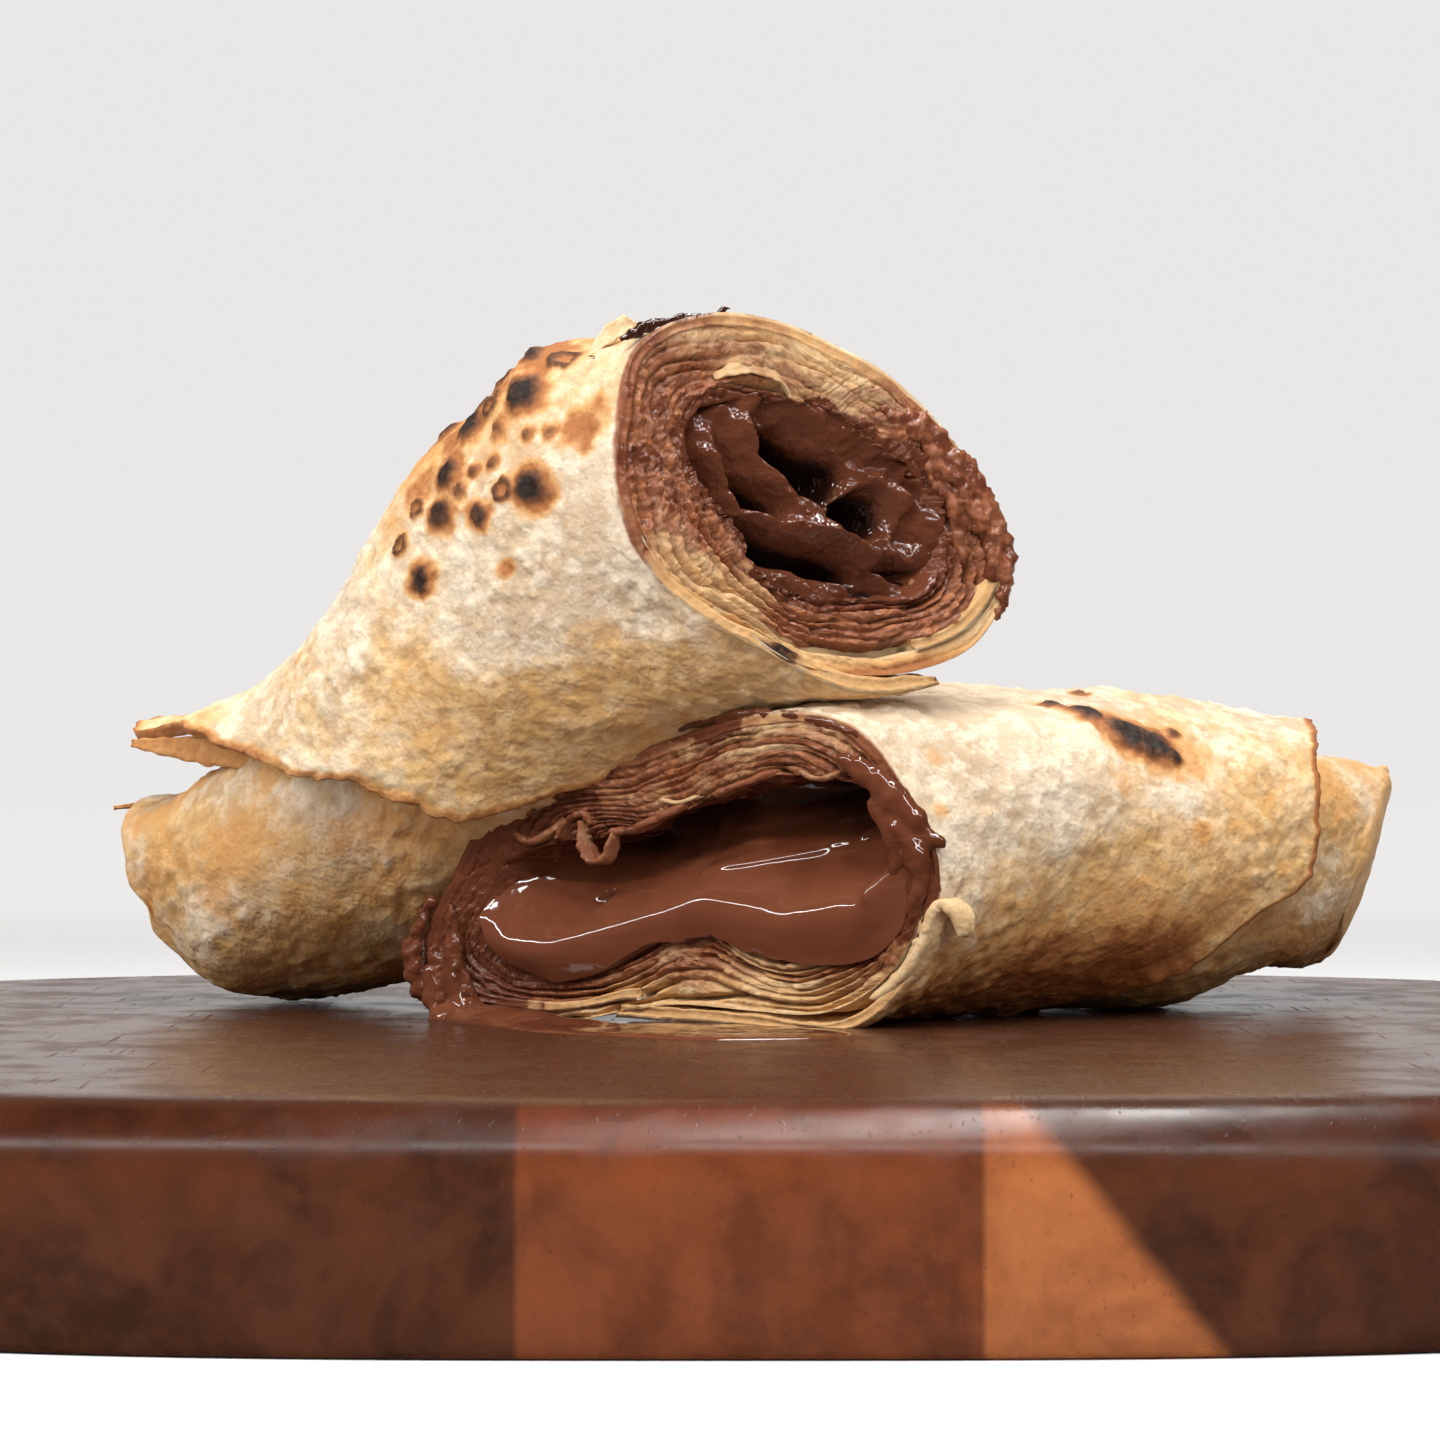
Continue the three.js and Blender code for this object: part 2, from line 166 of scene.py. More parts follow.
def lower_at(along, rise=0.0):
    """The middle of the lower half, so many mm behind its cut."""
    return (-5.2 + LOWER_AXIS[0] * along, -4.3 + LOWER_AXIS[1] * along, 52.5 + rise)


def tilted(degrees):
    """The up direction of a station that leans back along the upper half."""
    s, c = math.sin(degrees * DEG), math.cos(degrees * DEG)
    return (-0.826 * s, 0.564 * s, c)


# skin: outside. core: under the outermost turn. hollow: round the filling. edge: how far along the
# roll the outermost turn reaches, by degrees. lift: how far it stands off, in mm. covered: where
# the outermost turn lies on the core at the cut, from 0 to 1.
LOWER = {
    "axis": LOWER_AXIS,
    "seed": 0.4,
    "skin": [
        station(0, lower_at(0), (0.94, -0.342, 0), UPRIGHT,
                (38.9, 36.4, 33.9, 27.2, 21.8, 19.5, 19.9, 23.3, 31.3, 36.7, 44.5, 34.6, 25.2, 22.4,
                 22.5, 25.6, 32.6, 37.3)),
        station(0.35, lower_at(42, 2.3), (0.8, -0.6, 0), UPRIGHT, oval(31, 31, 25.2, 24.3)),
        station(0.7, lower_at(84, 1.5), (0.45, -0.89, 0), UPRIGHT, oval(29, 30, 24.2, 23.3)),
        station(1, lower_at(120, -0.5), (0.05, -1, 0), (0.08, 0, 1), oval(29, 27, 22, 20)),
    ],
    "core": [
        station(0.35, lower_at(42, 2), (0.8, -0.6, 0), UPRIGHT, oval(29.1, 29.1, 23.4, 22.6)),
        station(0.7, lower_at(88, 0.5), (0.45, -0.89, 0), UPRIGHT, oval(26, 27, 21, 22)),
        station(1, lower_at(125, -1), (-0.08, -1, 0), (0.3, 0.1, 0.93), oval(22, 22, 17, 16)),
    ],
    "hollow": [
        station(0, lower_at(0), (0.94, -0.342, 0), UPRIGHT,
                (35, 32, 22.8, 14, 10.4, 9.6, 10.1, 11.5, 15.4, 32.9, 33.7, 25.8, 12.8, 10.4, 9.8,
                 11.3, 20, 32)),
        station(0.3, lower_at(36, 1), (0.8, -0.6, 0), UPRIGHT, oval(20, 20, 13, 13)),
        station(0.6, lower_at(74, 0), (0.5, -0.86, 0), UPRIGHT, oval(16, 16, 10, 11)),
        station(0.86, lower_at(105, -1), (0.1, -1, 0), UPRIGHT, oval(12, 12, 8, 8)),
    ],
    "edge": ((-117, 0.03), (-111, 0.12), (-97, 0.24), (-85, 0.3), (-60, 0.43), (-39, 0.55), (-31, 0.63),
             (-18, 0.76), (-8, 0.83), (6, 0.862), (24, 0.865), (60, 0.9), (98, 0.945), (180, 0.94),
             (248, 0.9)),
    "lift": lambda d, at: (2.2 * bell(d, -38, 24) * (1 - smooth(at / 0.16))
                           + 0.8 * bell(d, -28, 26) * at),
    "covered": lambda d: (1 + 0.35 * bell(d, 275, 26)
                          - smooth((d - 160) / 60) * (1 - smooth((d - 236) / 14))),
}
UPPER_CUT = ((14, -7, 108), (0.94, 0.342, 0), (-0.048, 0.131, 0.99))
UPPER = {
    "axis": unit((-0.8, 0.56, -0.21)),
    "seed": 2.1,
    "skin": [
        station(0, *UPPER_CUT,
                (27.5, 24.2, 22.5, 22.3, 23.2, 26.4, 30.9, 34.2, 31.9, 30.8, 29.0, 26.7, 25.1, 25.3,
                 27.1, 30.0, 33.0, 32.5)),
        station(0.29, (-17.5, 13.5, 101), (0.72, 0.69, 0), tilted(36), oval(27, 29, 26, 35, 2.2)),
        station(0.64, (-47, 34.5, 66), (0.6, 0.8, 0), tilted(30), oval(26, 27, 26, 28, 2.2)),
        station(0.85, (-72, 51, 51.5), (0.57, 0.82, 0), tilted(17), oval(24, 25, 27.5, 21.5, 2.2)),
        station(1, (-87.5, 61.5, 48.5), (0.57, 0.82, 0), tilted(12), oval(22, 22, 26, 19, 2.2)),
    ],
    "core": [
        station(0.29, (-17.5, 13.5, 101), (0.72, 0.69, 0), tilted(36), oval(25.2, 27.2, 24.2, 33.5, 2.2)),
        station(0.64, (-47, 34.5, 65), (0.6, 0.8, 0), tilted(30), oval(24, 25, 23, 27, 2.2)),
        station(0.85, (-70, 50, 48.8), (0.57, 0.82, 0), tilted(20), oval(22, 23, 19, 18.4)),
        station(1, (-82, 58, 47.2), (0.57, 0.82, 0), (-0.43, 0.15, 0.88), oval(19, 17, 17, 16.4, 2.5)),
    ],
    "hollow": [
        station(0, *UPPER_CUT,
                (20.3, 16.1, 13.6, 13.5, 14.1, 14.9, 17.1, 21.0, 20.4, 15.7, 12.8, 13.8, 15.0, 15.2,
                 16.0, 18.3, 22.6, 23.0)),
        station(0.29, (-17.5, 13.5, 100), (0.72, 0.69, 0), tilted(36), oval(15, 16, 13, 16, 2.2)),
        station(0.64, (-47, 34.5, 65), (0.6, 0.8, 0), tilted(30), oval(13, 13, 11, 13, 2.2)),
        station(0.86, (-69, 49.5, 49), (0.57, 0.82, 0), tilted(20), oval(10, 10, 8, 8)),
    ],
    "edge": ((-57, 0.9), (0, 0.95), (60, 0.965), (104, 0.96), (116, 0.935), (126, 0.825), (143, 0.75),
             (159, 0.69), (177, 0.64), (194, 0.575), (210, 0.535), (232, 0.485), (250, 0.4),
             (270, 0.29), (292, 0.15), (303, 0.012)),
    "lift": lambda d, at: (
        3.0 * smooth((d - 246) / 40) * (1 - smooth(at / 0.34))
        + bell(d, 126, 26) * (3.5 * bell(at, 0.165, 0.045) - 1.1 * bell(at, 0.28, 0.06))
        + 2 * smooth((d - 110) / 40) * smooth((at - 0.4) / 0.2) * (1 - smooth((d - 225) / 30))),
    "covered": lambda d: 1 - smooth((d - 236) / 24) * (1 - smooth((d - 330) / 30)),
}
for half in (LOWER, UPPER):
    cut = half["skin"][0]
    radii = cut["r"] - TURN_STEP * half["covered"](np.arange(SPOKES) * 360 / SPOKES)
    half["core"].insert(0, dict(cut, r=radii))


# ---- Meshes -----------------------------------------------------------------------------------
# The slot of each material, by its name without the number that Blender may add.
SLOTS = {"flatbread": "chapati", "chocolate": "chocolate", "glued_wood": "board"}


def grid_quads(rows, cols, wrap):
    r = np.arange(rows - 1)[:, None]
    c = np.arange(cols if wrap else cols - 1)
    a = r * cols + c
    b = r * cols + (c + 1) % cols
    return np.stack([a, a + cols, b + cols, b], -1).reshape(-1, 4)


def caps(rows, cols):
    """Triangles from the first and the last ring to the two end points that follow the rings."""
    i = np.arange(cols)
    j = (i + 1) % cols
    last, tip = (rows - 1) * cols, np.full(cols, rows * cols)
    return np.concatenate([np.stack([tip, i, j], -1), np.stack([last + j, last + i, tip + 1], -1)])


def inside_out(points, quads):
    a, b, c, d = (points[quads[:, k]] for k in range(4))
    return np.einsum("ij,ij->", a, np.cross(b, c) + np.cross(c, d)) < 0


def make_mesh(name, points, quads, triangles, fields, material):
    """A smooth mesh object from points in millimetres, riding on the CAD model's only body."""
    points = np.asarray(points, float).reshape(-1, 3) / 1000
    triangles = np.asarray(triangles, int)
    quads = np.asarray(quads, int)
    loops = np.concatenate([quads.ravel(), triangles.ravel()])
    counts = np.concatenate([np.full(len(quads), 4), np.full(len(triangles), 3)])
    mesh = bpy.data.meshes.new(name)
    mesh.vertices.add(len(points))
    mesh.vertices.foreach_set("co", points.ravel())
    mesh.loops.add(len(loops))
    mesh.loops.foreach_set("vertex_index", loops.astype(np.int32))
    mesh.polygons.add(len(counts))
    mesh.polygons.foreach_set("loop_start", (np.cumsum(counts) - counts).astype(np.int32))
    mesh.polygons.foreach_set("use_smooth", np.ones(len(counts), bool))
    mesh.update(calc_edges=True)
    mesh.validate()
    for key, values in fields.items():
        values = np.asarray(values, np.float32)
        layer = mesh.attributes.new(key, "FLOAT_VECTOR" if key == "leaf" else "FLOAT", "POINT")
        layer.data.foreach_set("vector" if key == "leaf" else "value", values.ravel())
    obj = bpy.data.objects.new(name, mesh)
    bpy.context.scene.collection.objects.link(obj)
    mesh.materials.append(material)
    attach(obj, "root")
    slot = SLOTS[material.name.split(".")[0]]
    return obj


def ring_body(name, rings, start, end, fields, material):
    """A closed body of rings (rows, cols, 3) between two end points, facing out."""
    rows, cols = rings.shape[:2]
    points = np.concatenate([rings.reshape(-1, 3), [start], [end]])
    quads, triangles = grid_quads(rows, cols, True), caps(rows, cols)
    if inside_out(points, quads):
        quads, triangles = quads[:, ::-1], triangles[:, ::-1]
    fields = {k: np.concatenate([np.broadcast_to(v, (rows, cols)).ravel(), [np.mean(v[0]), np.mean(v[-1])]])
              for k, v in fields.items()}
    return make_mesh(name, points, quads, triangles, fields, material)


def round_noise(angle, k, level, seed):
    """Noise that closes on itself round a roll."""
    return perlin(stack(np.cos(angle) * k, np.sin(angle) * k, level), seed)


# ---- Skins ------------------------------------------------------------------------------------
# Burnt and toasted spots: angle, distance along the roll, radius in mm, how burnt, ring or solid.
SPOTS = {
    "upper": (
        (146, .153, 3.0, 1.0, 0), (175, .160, 2.9, 1.0, 0), (130, .165, 2.2, .9, 0),
        (129, .205, 2.6, .85, 0), (131, .240, 2.3, .7, 0), (143, .237, 3.2, 1.0, 0),
        (157, .270, 2.7, .9, 0), (167, .300, 2.5, .85, 0), (176, .250, 2.0, .8, 0),
        (177, .370, 2.4, .9, 0), (172, .203, 1.6, .7, 1), (136, .125, 1.6, .7, 1),
        (143, .205, 1.5, .7, 1), (158, .335, 1.5, .6, 1), (161, .378, 1.3, .6, 1),
        (140, .197, 1.0, .6, 0), (153, .190, 1.7, .4, 0), (159, .150, 1.3, .5, 0),
        (160, .117, 1.3, .45, 0), (163, .207, 1.2, .5, 0), (162, .237, 1.2, .55, 0),
        (165, .263, 1.5, .5, 0), (126, .300, 2.4, .8, 0), (118, .230, 2.2, .8, 0),
        (112, .330, 2.6, .9, 0), (104, .180, 2.8, .9, 0), (96, .270, 2.0, .7, 0),
        (72, .210, 3.2, .9, 0), (58, .330, 2.6, .8, 0), (40, .250, 3.4, .9, 0),
        (20, .420, 2.5, .7, 0), (88, .420, 2.1, .7, 0), (30, .120, 2.4, .7, 0),
    ),
    "lower": (
        (40, .505, 4.2, 1.0, 0), (36, .548, 3.8, 1.0, 0), (50, .465, 3.0, .95, 0),
        (57, .435, 2.0, .8, 0), (43, .613, 1.5, .6, 0), (73, .540, 1.3, .5, 0),
        (32, .580, 2.0, .8, 0), (150, .300, 3.0, .8, 0), (120, .650, 2.6, .9, 0),
        (165, .560, 3.4, .9, 0), (200, .400, 2.6, .8, 0),
    ),
}
# Golden, only toasted patches: angle, distance, radius, strength. The broad patches low on the right of the lower half
# are painted shade.
PATCHES = {
    "upper": ((195, .253, 1.9, .8), (161, .070, 4.6, 1.0), (156, .050, 3.0, .8), (126, .667, 2.2, .4),
              (145, .590, 2.0, .4), (150, .180, 14, .28), (134, .215, 8, 1.0), (141, .265, 6, .95),
              (151, .325, 5, .85), (128, .165, 8, 1.05), (137, .235, 6, 1.05), (128, .300, 15, .6),
              (112, .200, 16, .7), (120, .120, 8, .6), (40, .300, 20, .4), (151, .385, 5, .35),
              (142, .160, 5, .5)),
    "lower": ((-15, .307, 1.4, .5), (-3, .780, 2.4, .5), (19, .760, 1.7, .4), (14, .073, 1.8, .5),
              (29, .120, 2.2, .35), (10, .670, 1.6, .4), (33, .600, 7, .55), (40, .510, 9, .35),
              # Painted shade: the broad patches, of radius 9 mm and more, darken the underside at the lower right.
              (-25, .450, 7, .3), (-30, .250, 6, .25), (-62, .250, 24, .95), (-64, .520, 24, .95),
              (-24, .235, 4, .5), (7, .585, 2.6, .6), (22, .430, 3.2, .4),
              (-38, .320, 14, .95), (-36, .500, 15, 1.0), (-22, .400, 9, .50), (-16, .640, 8, .40)),
}
# Broad floury and golden zones: angle, distance, radius in mm, how golden (+) or floury (-). The golden zones low on
# each half are partly painted warm shade.
TINTS = {
    "upper": ((187, .07, 15, -.5), (204, .18, 13, -.6), (196, .30, 12, -.5), (172, .04, 9, -.3), (150, .05, 8, .35),
              (226, .14, 8, -.25), (236, .29, 10, .45), (240, .40, 12, .45), (231, .21, 6, .4),
              (198, .44, 6, .45), (217, .42, 7, .4), (221, .35, 5, .35), (188, .45, 5, .35),
              (150, .52, 12, -.2), (247, .24, 8, .35), (214, .45, 6, .3)),
    "lower": ((28, .22, 18, -.25), (55, .20, 20, -.35), (2, .12, 10, -.2), (20, .45, 14, -.1),
              (348, .37, 14, .35), (330, .30, 14, .55), (352, .16, 10, .2), (2, .60, 14, .35),
              (340, .62, 14, .5), (5, .80, 12, .45)),
}


def skin_paint(half, kind, places):
    """How burnt (char) and how toasted the skin is at places, from the spots and patches. The toast also carries the
    painted shade of the broad patches under the lower half.
    """
    char = np.zeros(places.shape[:-1])
    toast = np.zeros(places.shape[:-1])
    warp = fbm(places / 2.6, 3, 31) * 0.9

    def away(angle, at):
        return np.linalg.norm(places - loft(half["skin"], angle * DEG, at), axis=-1)

    for angle, at, radius, burnt, ring in SPOTS[kind]:
        d = away(angle, at) / (radius * 1.15) + warp * 0.36 * np.minimum(1.5, 2.4 / radius)
        mark = bell(d, 0.75, 0.34) if ring else 1 - smooth((d - 0.25) / 0.85)
        char = np.maximum(char, burnt * mark)
        toast = np.maximum(toast, (0.60 + 0.45 * burnt) * (1 - smooth(d - 0.7)))
    for angle, at, radius, strength in PATCHES[kind]:
        d = away(angle, at) / radius + warp * 0.35
        toast = np.maximum(toast, strength * (1 - smooth((d - 0.3) / 0.9)))
    return char, toast


def cells(p, seed):
    """Distance to the nearest of one scattered point in each unit cube."""
    home = np.floor(p).astype(np.int64)
    nearest = np.full(p.shape[:-1], 9.0)
    for step in product((-1, 0, 1), repeat=3):
        cube = [home[..., k] + step[k] for k in range(3)]
        x, y, z = (i + g - p[..., k] for k, (i, g) in enumerate(zip(cube, lattice(*cube, seed))))
        nearest = np.minimum(nearest, np.sqrt(x ** 2 + y ** 2 + z ** 2))
    return nearest


def skin_relief(places, seed):
    """Blisters, dimples and creases of a griddled flatbread: outwards in mm, and how puffed."""
    warped = places + 1.5 * stack(*(perlin(places / 4.0, seed + k) for k in (1, 2, 3)))
    where = 0.35 + 0.65 * smooth(0.5 + 1.4 * perlin(places / 13.0, seed + 6))
    blister = where * smooth(1.02 - cells(warped / 4.4, seed + 4) * 1.25)
    pimple = where * smooth(1.02 - cells(warped / 2.1, seed + 5) * 1.25)
    slow = fbm(places / 12.0, 2, seed)
    grain = fbm(places / 1.4, 2, seed + 9)
    puffed = np.clip(0.12 + 0.55 * blister + 0.45 * pimple + 0.2 * grain, 0, 1)
    return 0.60 * slow + 0.55 * blister + 0.44 * pimple - 0.34 + 0.12 * grain, puffed


def golden(half, kind, angle, at, places):
    """Where the bread is golden and oily rather than pale and floury. By angle it is also made golden toward the
    underside and paler on top, as painted warm shade.
    """
    d = (angle / DEG) % 360
    # Painted shade: the terms by angle make the underside more golden and the top paler.
    if kind == "upper":
        amount = 0.40 + 0.30 * bell(d, 262, 50) + 0.3 * smooth((at - 0.72) / 0.2)
    else:
        amount = 0.36 + 0.30 * bell(d, 322, 30) + 0.25 * smooth((at - 0.75) / 0.2) - 0.2 * bell(d, 75, 45)
    warped = places + 3.0 * stack(*(perlin(places / 7.0, k) for k in (51, 52, 53)))
    for centre, t, radius, strength in TINTS[kind]:
        spot = loft(half["skin"], centre * DEG, t)
        amount = amount + strength * np.exp(-(np.linalg.norm(warped - spot, axis=-1) / radius) ** 2)
    return np.clip(amount + 0.45 * fbm(places / 15.0, 3, 45), 0, 1)


def soften(table, width=3.0, reach=30):
    """The table as a smooth function of its first column."""
    x, y = np.array(table, float).T
    fine = np.linspace(x[0], x[-1], 1200)
    value = np.interp(fine, x, y)
    weight = np.exp(-(np.arange(-reach, reach + 1) * (fine[1] - fine[0]) / width) ** 2)
    value = np.convolve(np.pad(value, reach, "edge"), weight / weight.sum(), "valid")
    return lambda d: np.interp(d, fine, value)


def outward(stations, at, point):
    """The direction from the middle of the roll to a point beside it."""
    return unit(point - loft(stations, 0, at, 0, 0))


def turn_of(half, kind, name, material):
    """The outermost turn of the sheet, from its free edge round to where it passes under itself."""
    first, last = half["edge"][0][0], half["edge"][-1][0]
    tip_first = half["edge"][0][1] < 0.1
    cols, rows = 345, 232 if kind == "upper" else 190
    u = np.linspace(0, 1, cols) ** 1.35
    degrees = first + u * (last - first) if tip_first else last - u * (last - first)
    angle = degrees * DEG
    edge_noise = 0.010 * round_noise(angle, 6, 0.3, 3) + 0.006 * round_noise(angle, 25, 1.7, 4)
    reach = np.maximum(soften(half["edge"])(degrees) + edge_noise * smooth(u * 12), 0.006)
    tucked = smooth((u - 0.8) / 0.2)    # where it passes under itself

    def layer(y, inset, blistered=False):
        at = y[:, None] * reach
        base = loft(half["skin"], angle, at)
        from_edge = (reach - at) * ROLL_LENGTH
        relief, puffed = skin_relief(base, int(half["seed"] * 10))
        if blistered:
            relief = relief + 0.7 * smooth(skin_paint(half, kind, base)[0] * 1.2)
        frill = 0.5 * round_noise(angle, 9, at * 30, 8) + 0.8 * (1 - tucked)
        out = (half["lift"](degrees, at) - 2.8 * tucked - waver(angle, at, half["seed"])
               + relief * smooth(at * 40) + frill * bell(from_edge, 0, 6) * smooth(at * 9))
        return base + outward(half["skin"], at, base) * (out - inset)[..., None], at, base, from_edge, puffed

    top, at, base, from_edge, puffed = layer(np.linspace(0, 1, rows) ** 1.2, 0, True)
    thick = SHEET * (1 + 0.15 * round_noise(angle, 8, 0.5, 12))
    if kind == "upper":
        thick = thick * (1 + 0.45 * bell(degrees, 284, 20))
        thick = thick * (0.30 + 0.70 * np.sqrt(np.clip((304 - degrees) / 9, 0, 1)))
    # The free edge is rounded over, and the cut edge is cut square and a little ragged.
    brow = [layer(np.array([1.0]), thick * k)[0] for k in (0.3, 0.7)]
    inner = layer(np.linspace(1, 0, 26), thick)[0]
    ragged = half["axis"] * (0.4 + 0.9 * round_noise(angle, 5, 0.2, 21)
                             + 0.5 * round_noise(angle, 21, 0.2, 22))[:, None]
    lip = [layer(np.array([0.0]), thick * k)[0] + ragged * far for k, far in ((0.8, 0.6), (0.55, 1.0), (0.3, 0.35))]
    rings = np.concatenate([top, *brow, inner, *lip])
    char, toast = skin_paint(half, kind, base)
    if kind == "lower":
        right = 1 - smooth((degrees - 70) / 30)
        rim_line = (0.24 + 0.20 * perlin(base / 5, 67)) * (1 - smooth((from_edge - 0.2) / 1.1)) * smooth(at * 6)
        char = np.maximum(char, rim_line * right)
        brown = 1.05 * (1 - smooth((from_edge - 0.7) / 1.6)) * smooth(at * 6) * right
        toast = np.maximum(toast, brown * smooth((degrees + 58) / 14))
    rim_toast = (0.75 + 0.25 * perlin(base / 6, 66)) * (1 - smooth((from_edge - 0.6) / 1.7))
    toast = np.maximum(toast, rim_toast * smooth(at * 6))
    cut_stain, cut_wet = rim_paint(kind, angle, 0)
    extra = len(rings) - rows
    edge_toast = np.full((extra, 1), 0.35)
    edge_toast[:2] = 0.9
    at_cut = np.zeros((extra, 1))
    at_cut[-5:] = 1
    # A burnt spot on the inner face shows in the gap between the layers of the upper cut.
    inner_char = bell(degrees, 256, 5) * (np.arange(extra) >= extra - 22)[:, None] if kind == "upper" else 0

    def pad(outside, rest):
        return np.concatenate([np.broadcast_to(outside, (rows, cols)), np.broadcast_to(rest, (extra, cols))])

    fields = {"char": pad(char, inner_char), "toast": pad(toast, edge_toast), "puff": pad(puffed, 0.4),
              "gold": pad(golden(half, kind, angle, at, base), 0.5),
              "stain": pad(stain_near_cut(kind, angle, at), cut_stain * at_cut + 0.1),
              "wet": pad(wet_near_cut(kind, angle, at), cut_wet * at_cut),
              "inside": pad(0.0, 1.0), "lamina": pad(0.0, 0.3)}
    # The grid closes lengthwise: its rows go round the section of the sheet.
    i = np.arange(cols - 1)
    end = (len(rings) - 1) * cols
    quads = np.concatenate([grid_quads(len(rings), cols, False), np.stack([end + i, i, i + 1, end + i + 1], -1)])
    # Close the two ends of the sheet by zipping its outside to its inside.
    outside = np.arange(rows) * cols
    inside = np.concatenate([np.arange(len(rings) - 1, rows - 1, -1), [rows - 1]]) * cols
    zipped = zipper(outside, inside)
    ends = np.concatenate([zipped, zipped[:, ::-1] + cols - 1])
    if not tip_first:
        quads, ends = quads[:, ::-1], ends[:, ::-1]
    return make_mesh(name, settled(kind, rings), quads, ends, fields, material)


def zipper(a, b):
    """Triangles between two rows of points with unlike counts, both running the same way."""
    triangles, i, j = [], 0, 0
    while i < len(a) - 1 or j < len(b) - 1:
        if j == len(b) - 1 or (i < len(a) - 1 and i / (len(a) - 1) <= j / (len(b) - 1)):
            triangles.append((a[i], a[i + 1], b[j]))
            i += 1
        else:
            triangles.append((a[i], b[j + 1], b[j]))
            j += 1
    return np.array([t for t in triangles if len(set(t)) == 3])


def stain_near_cut(kind, angle, at):
    """Chocolate stain of the skin just behind the cut."""
    d = angle / DEG
    amount = 0.55 + 0.45 * round_noise(angle, 5, 0.4, 17)
    if kind == "lower":
        amount = amount * (0.4 + 0.9 * bell(d, 95, 50) + 1.1 * bell(d, 185, 45))
    else:
        amount = amount * (0.25 + 1.3 * bell(d, 160, 42))
    return amount * (1 - smooth(at * ROLL_LENGTH / (1.0 + 2.4 * amount)))


def wet_near_cut(kind, angle, at):
    """Runny chocolate that crept over the edge of the cut onto the skin."""
    d = angle / DEG
    creep = 1.2 + 1.6 * round_noise(angle, 7, 0.9, 18)
    if kind == "lower":
        amount = 1.1 * bell(d, 82, 24) + 1.2 * bell(d, 8, 12) + 1.0 * bell(d, 195, 30)
    else:
        amount = 0.9 * bell(d, 360, 22) + 0.9 * bell(d, 0, 22) + 0.5 * bell(d, 122, 14)
    return amount * (1 - smooth((at * ROLL_LENGTH - 0.3) / np.maximum(creep * 1.6, 0.8)))


# How far the underside of the lower half sinks (-) or lifts (+), by x.
SETTLE = ((-60, 0), (30, 0), (38, -0.4), (50, -0.9), (58, -1.3), (66, -1.2), (71, -0.9), (76, 0.9), (81, 2.6),
          (86, 2.5), (92, 0.9), (97, 0.2), (110, 0))


def settled(kind, points):
    """The lower half rests on the board along its underside, and its far end stands clear of it."""
    if kind == "lower":
        points = points.copy()
        sink = soften(SETTLE, 2.0)(points[..., 0]) * smooth((54 - points[..., 2]) / 15)
        points[..., 2] = np.maximum(points[..., 2] + sink, BOARD_TOP + 0.02)
    return points


# ---- Bread under the outermost turn -----------------------------------------------------------
def hollow_point(half, kind, angle, at, inset=0.0, scale=1.0):
    """Points of the wall between the bread and its filling."""
    base = loft(half["hollow"], angle, at, inset, scale)
    wobble = 0.9 * round_noise(angle, 4, 0.2, 41) + 0.5 * round_noise(angle, 11, 1.0, 42)
    if kind == "lower":
        d = (angle / DEG) % 360
        wobble = wobble - 2.4 * bell(d, 188, 22) + 1.2 * bell(d, 3, 16)
    return base + outward(half["hollow"], at, base) * (wobble * scale)[..., None]


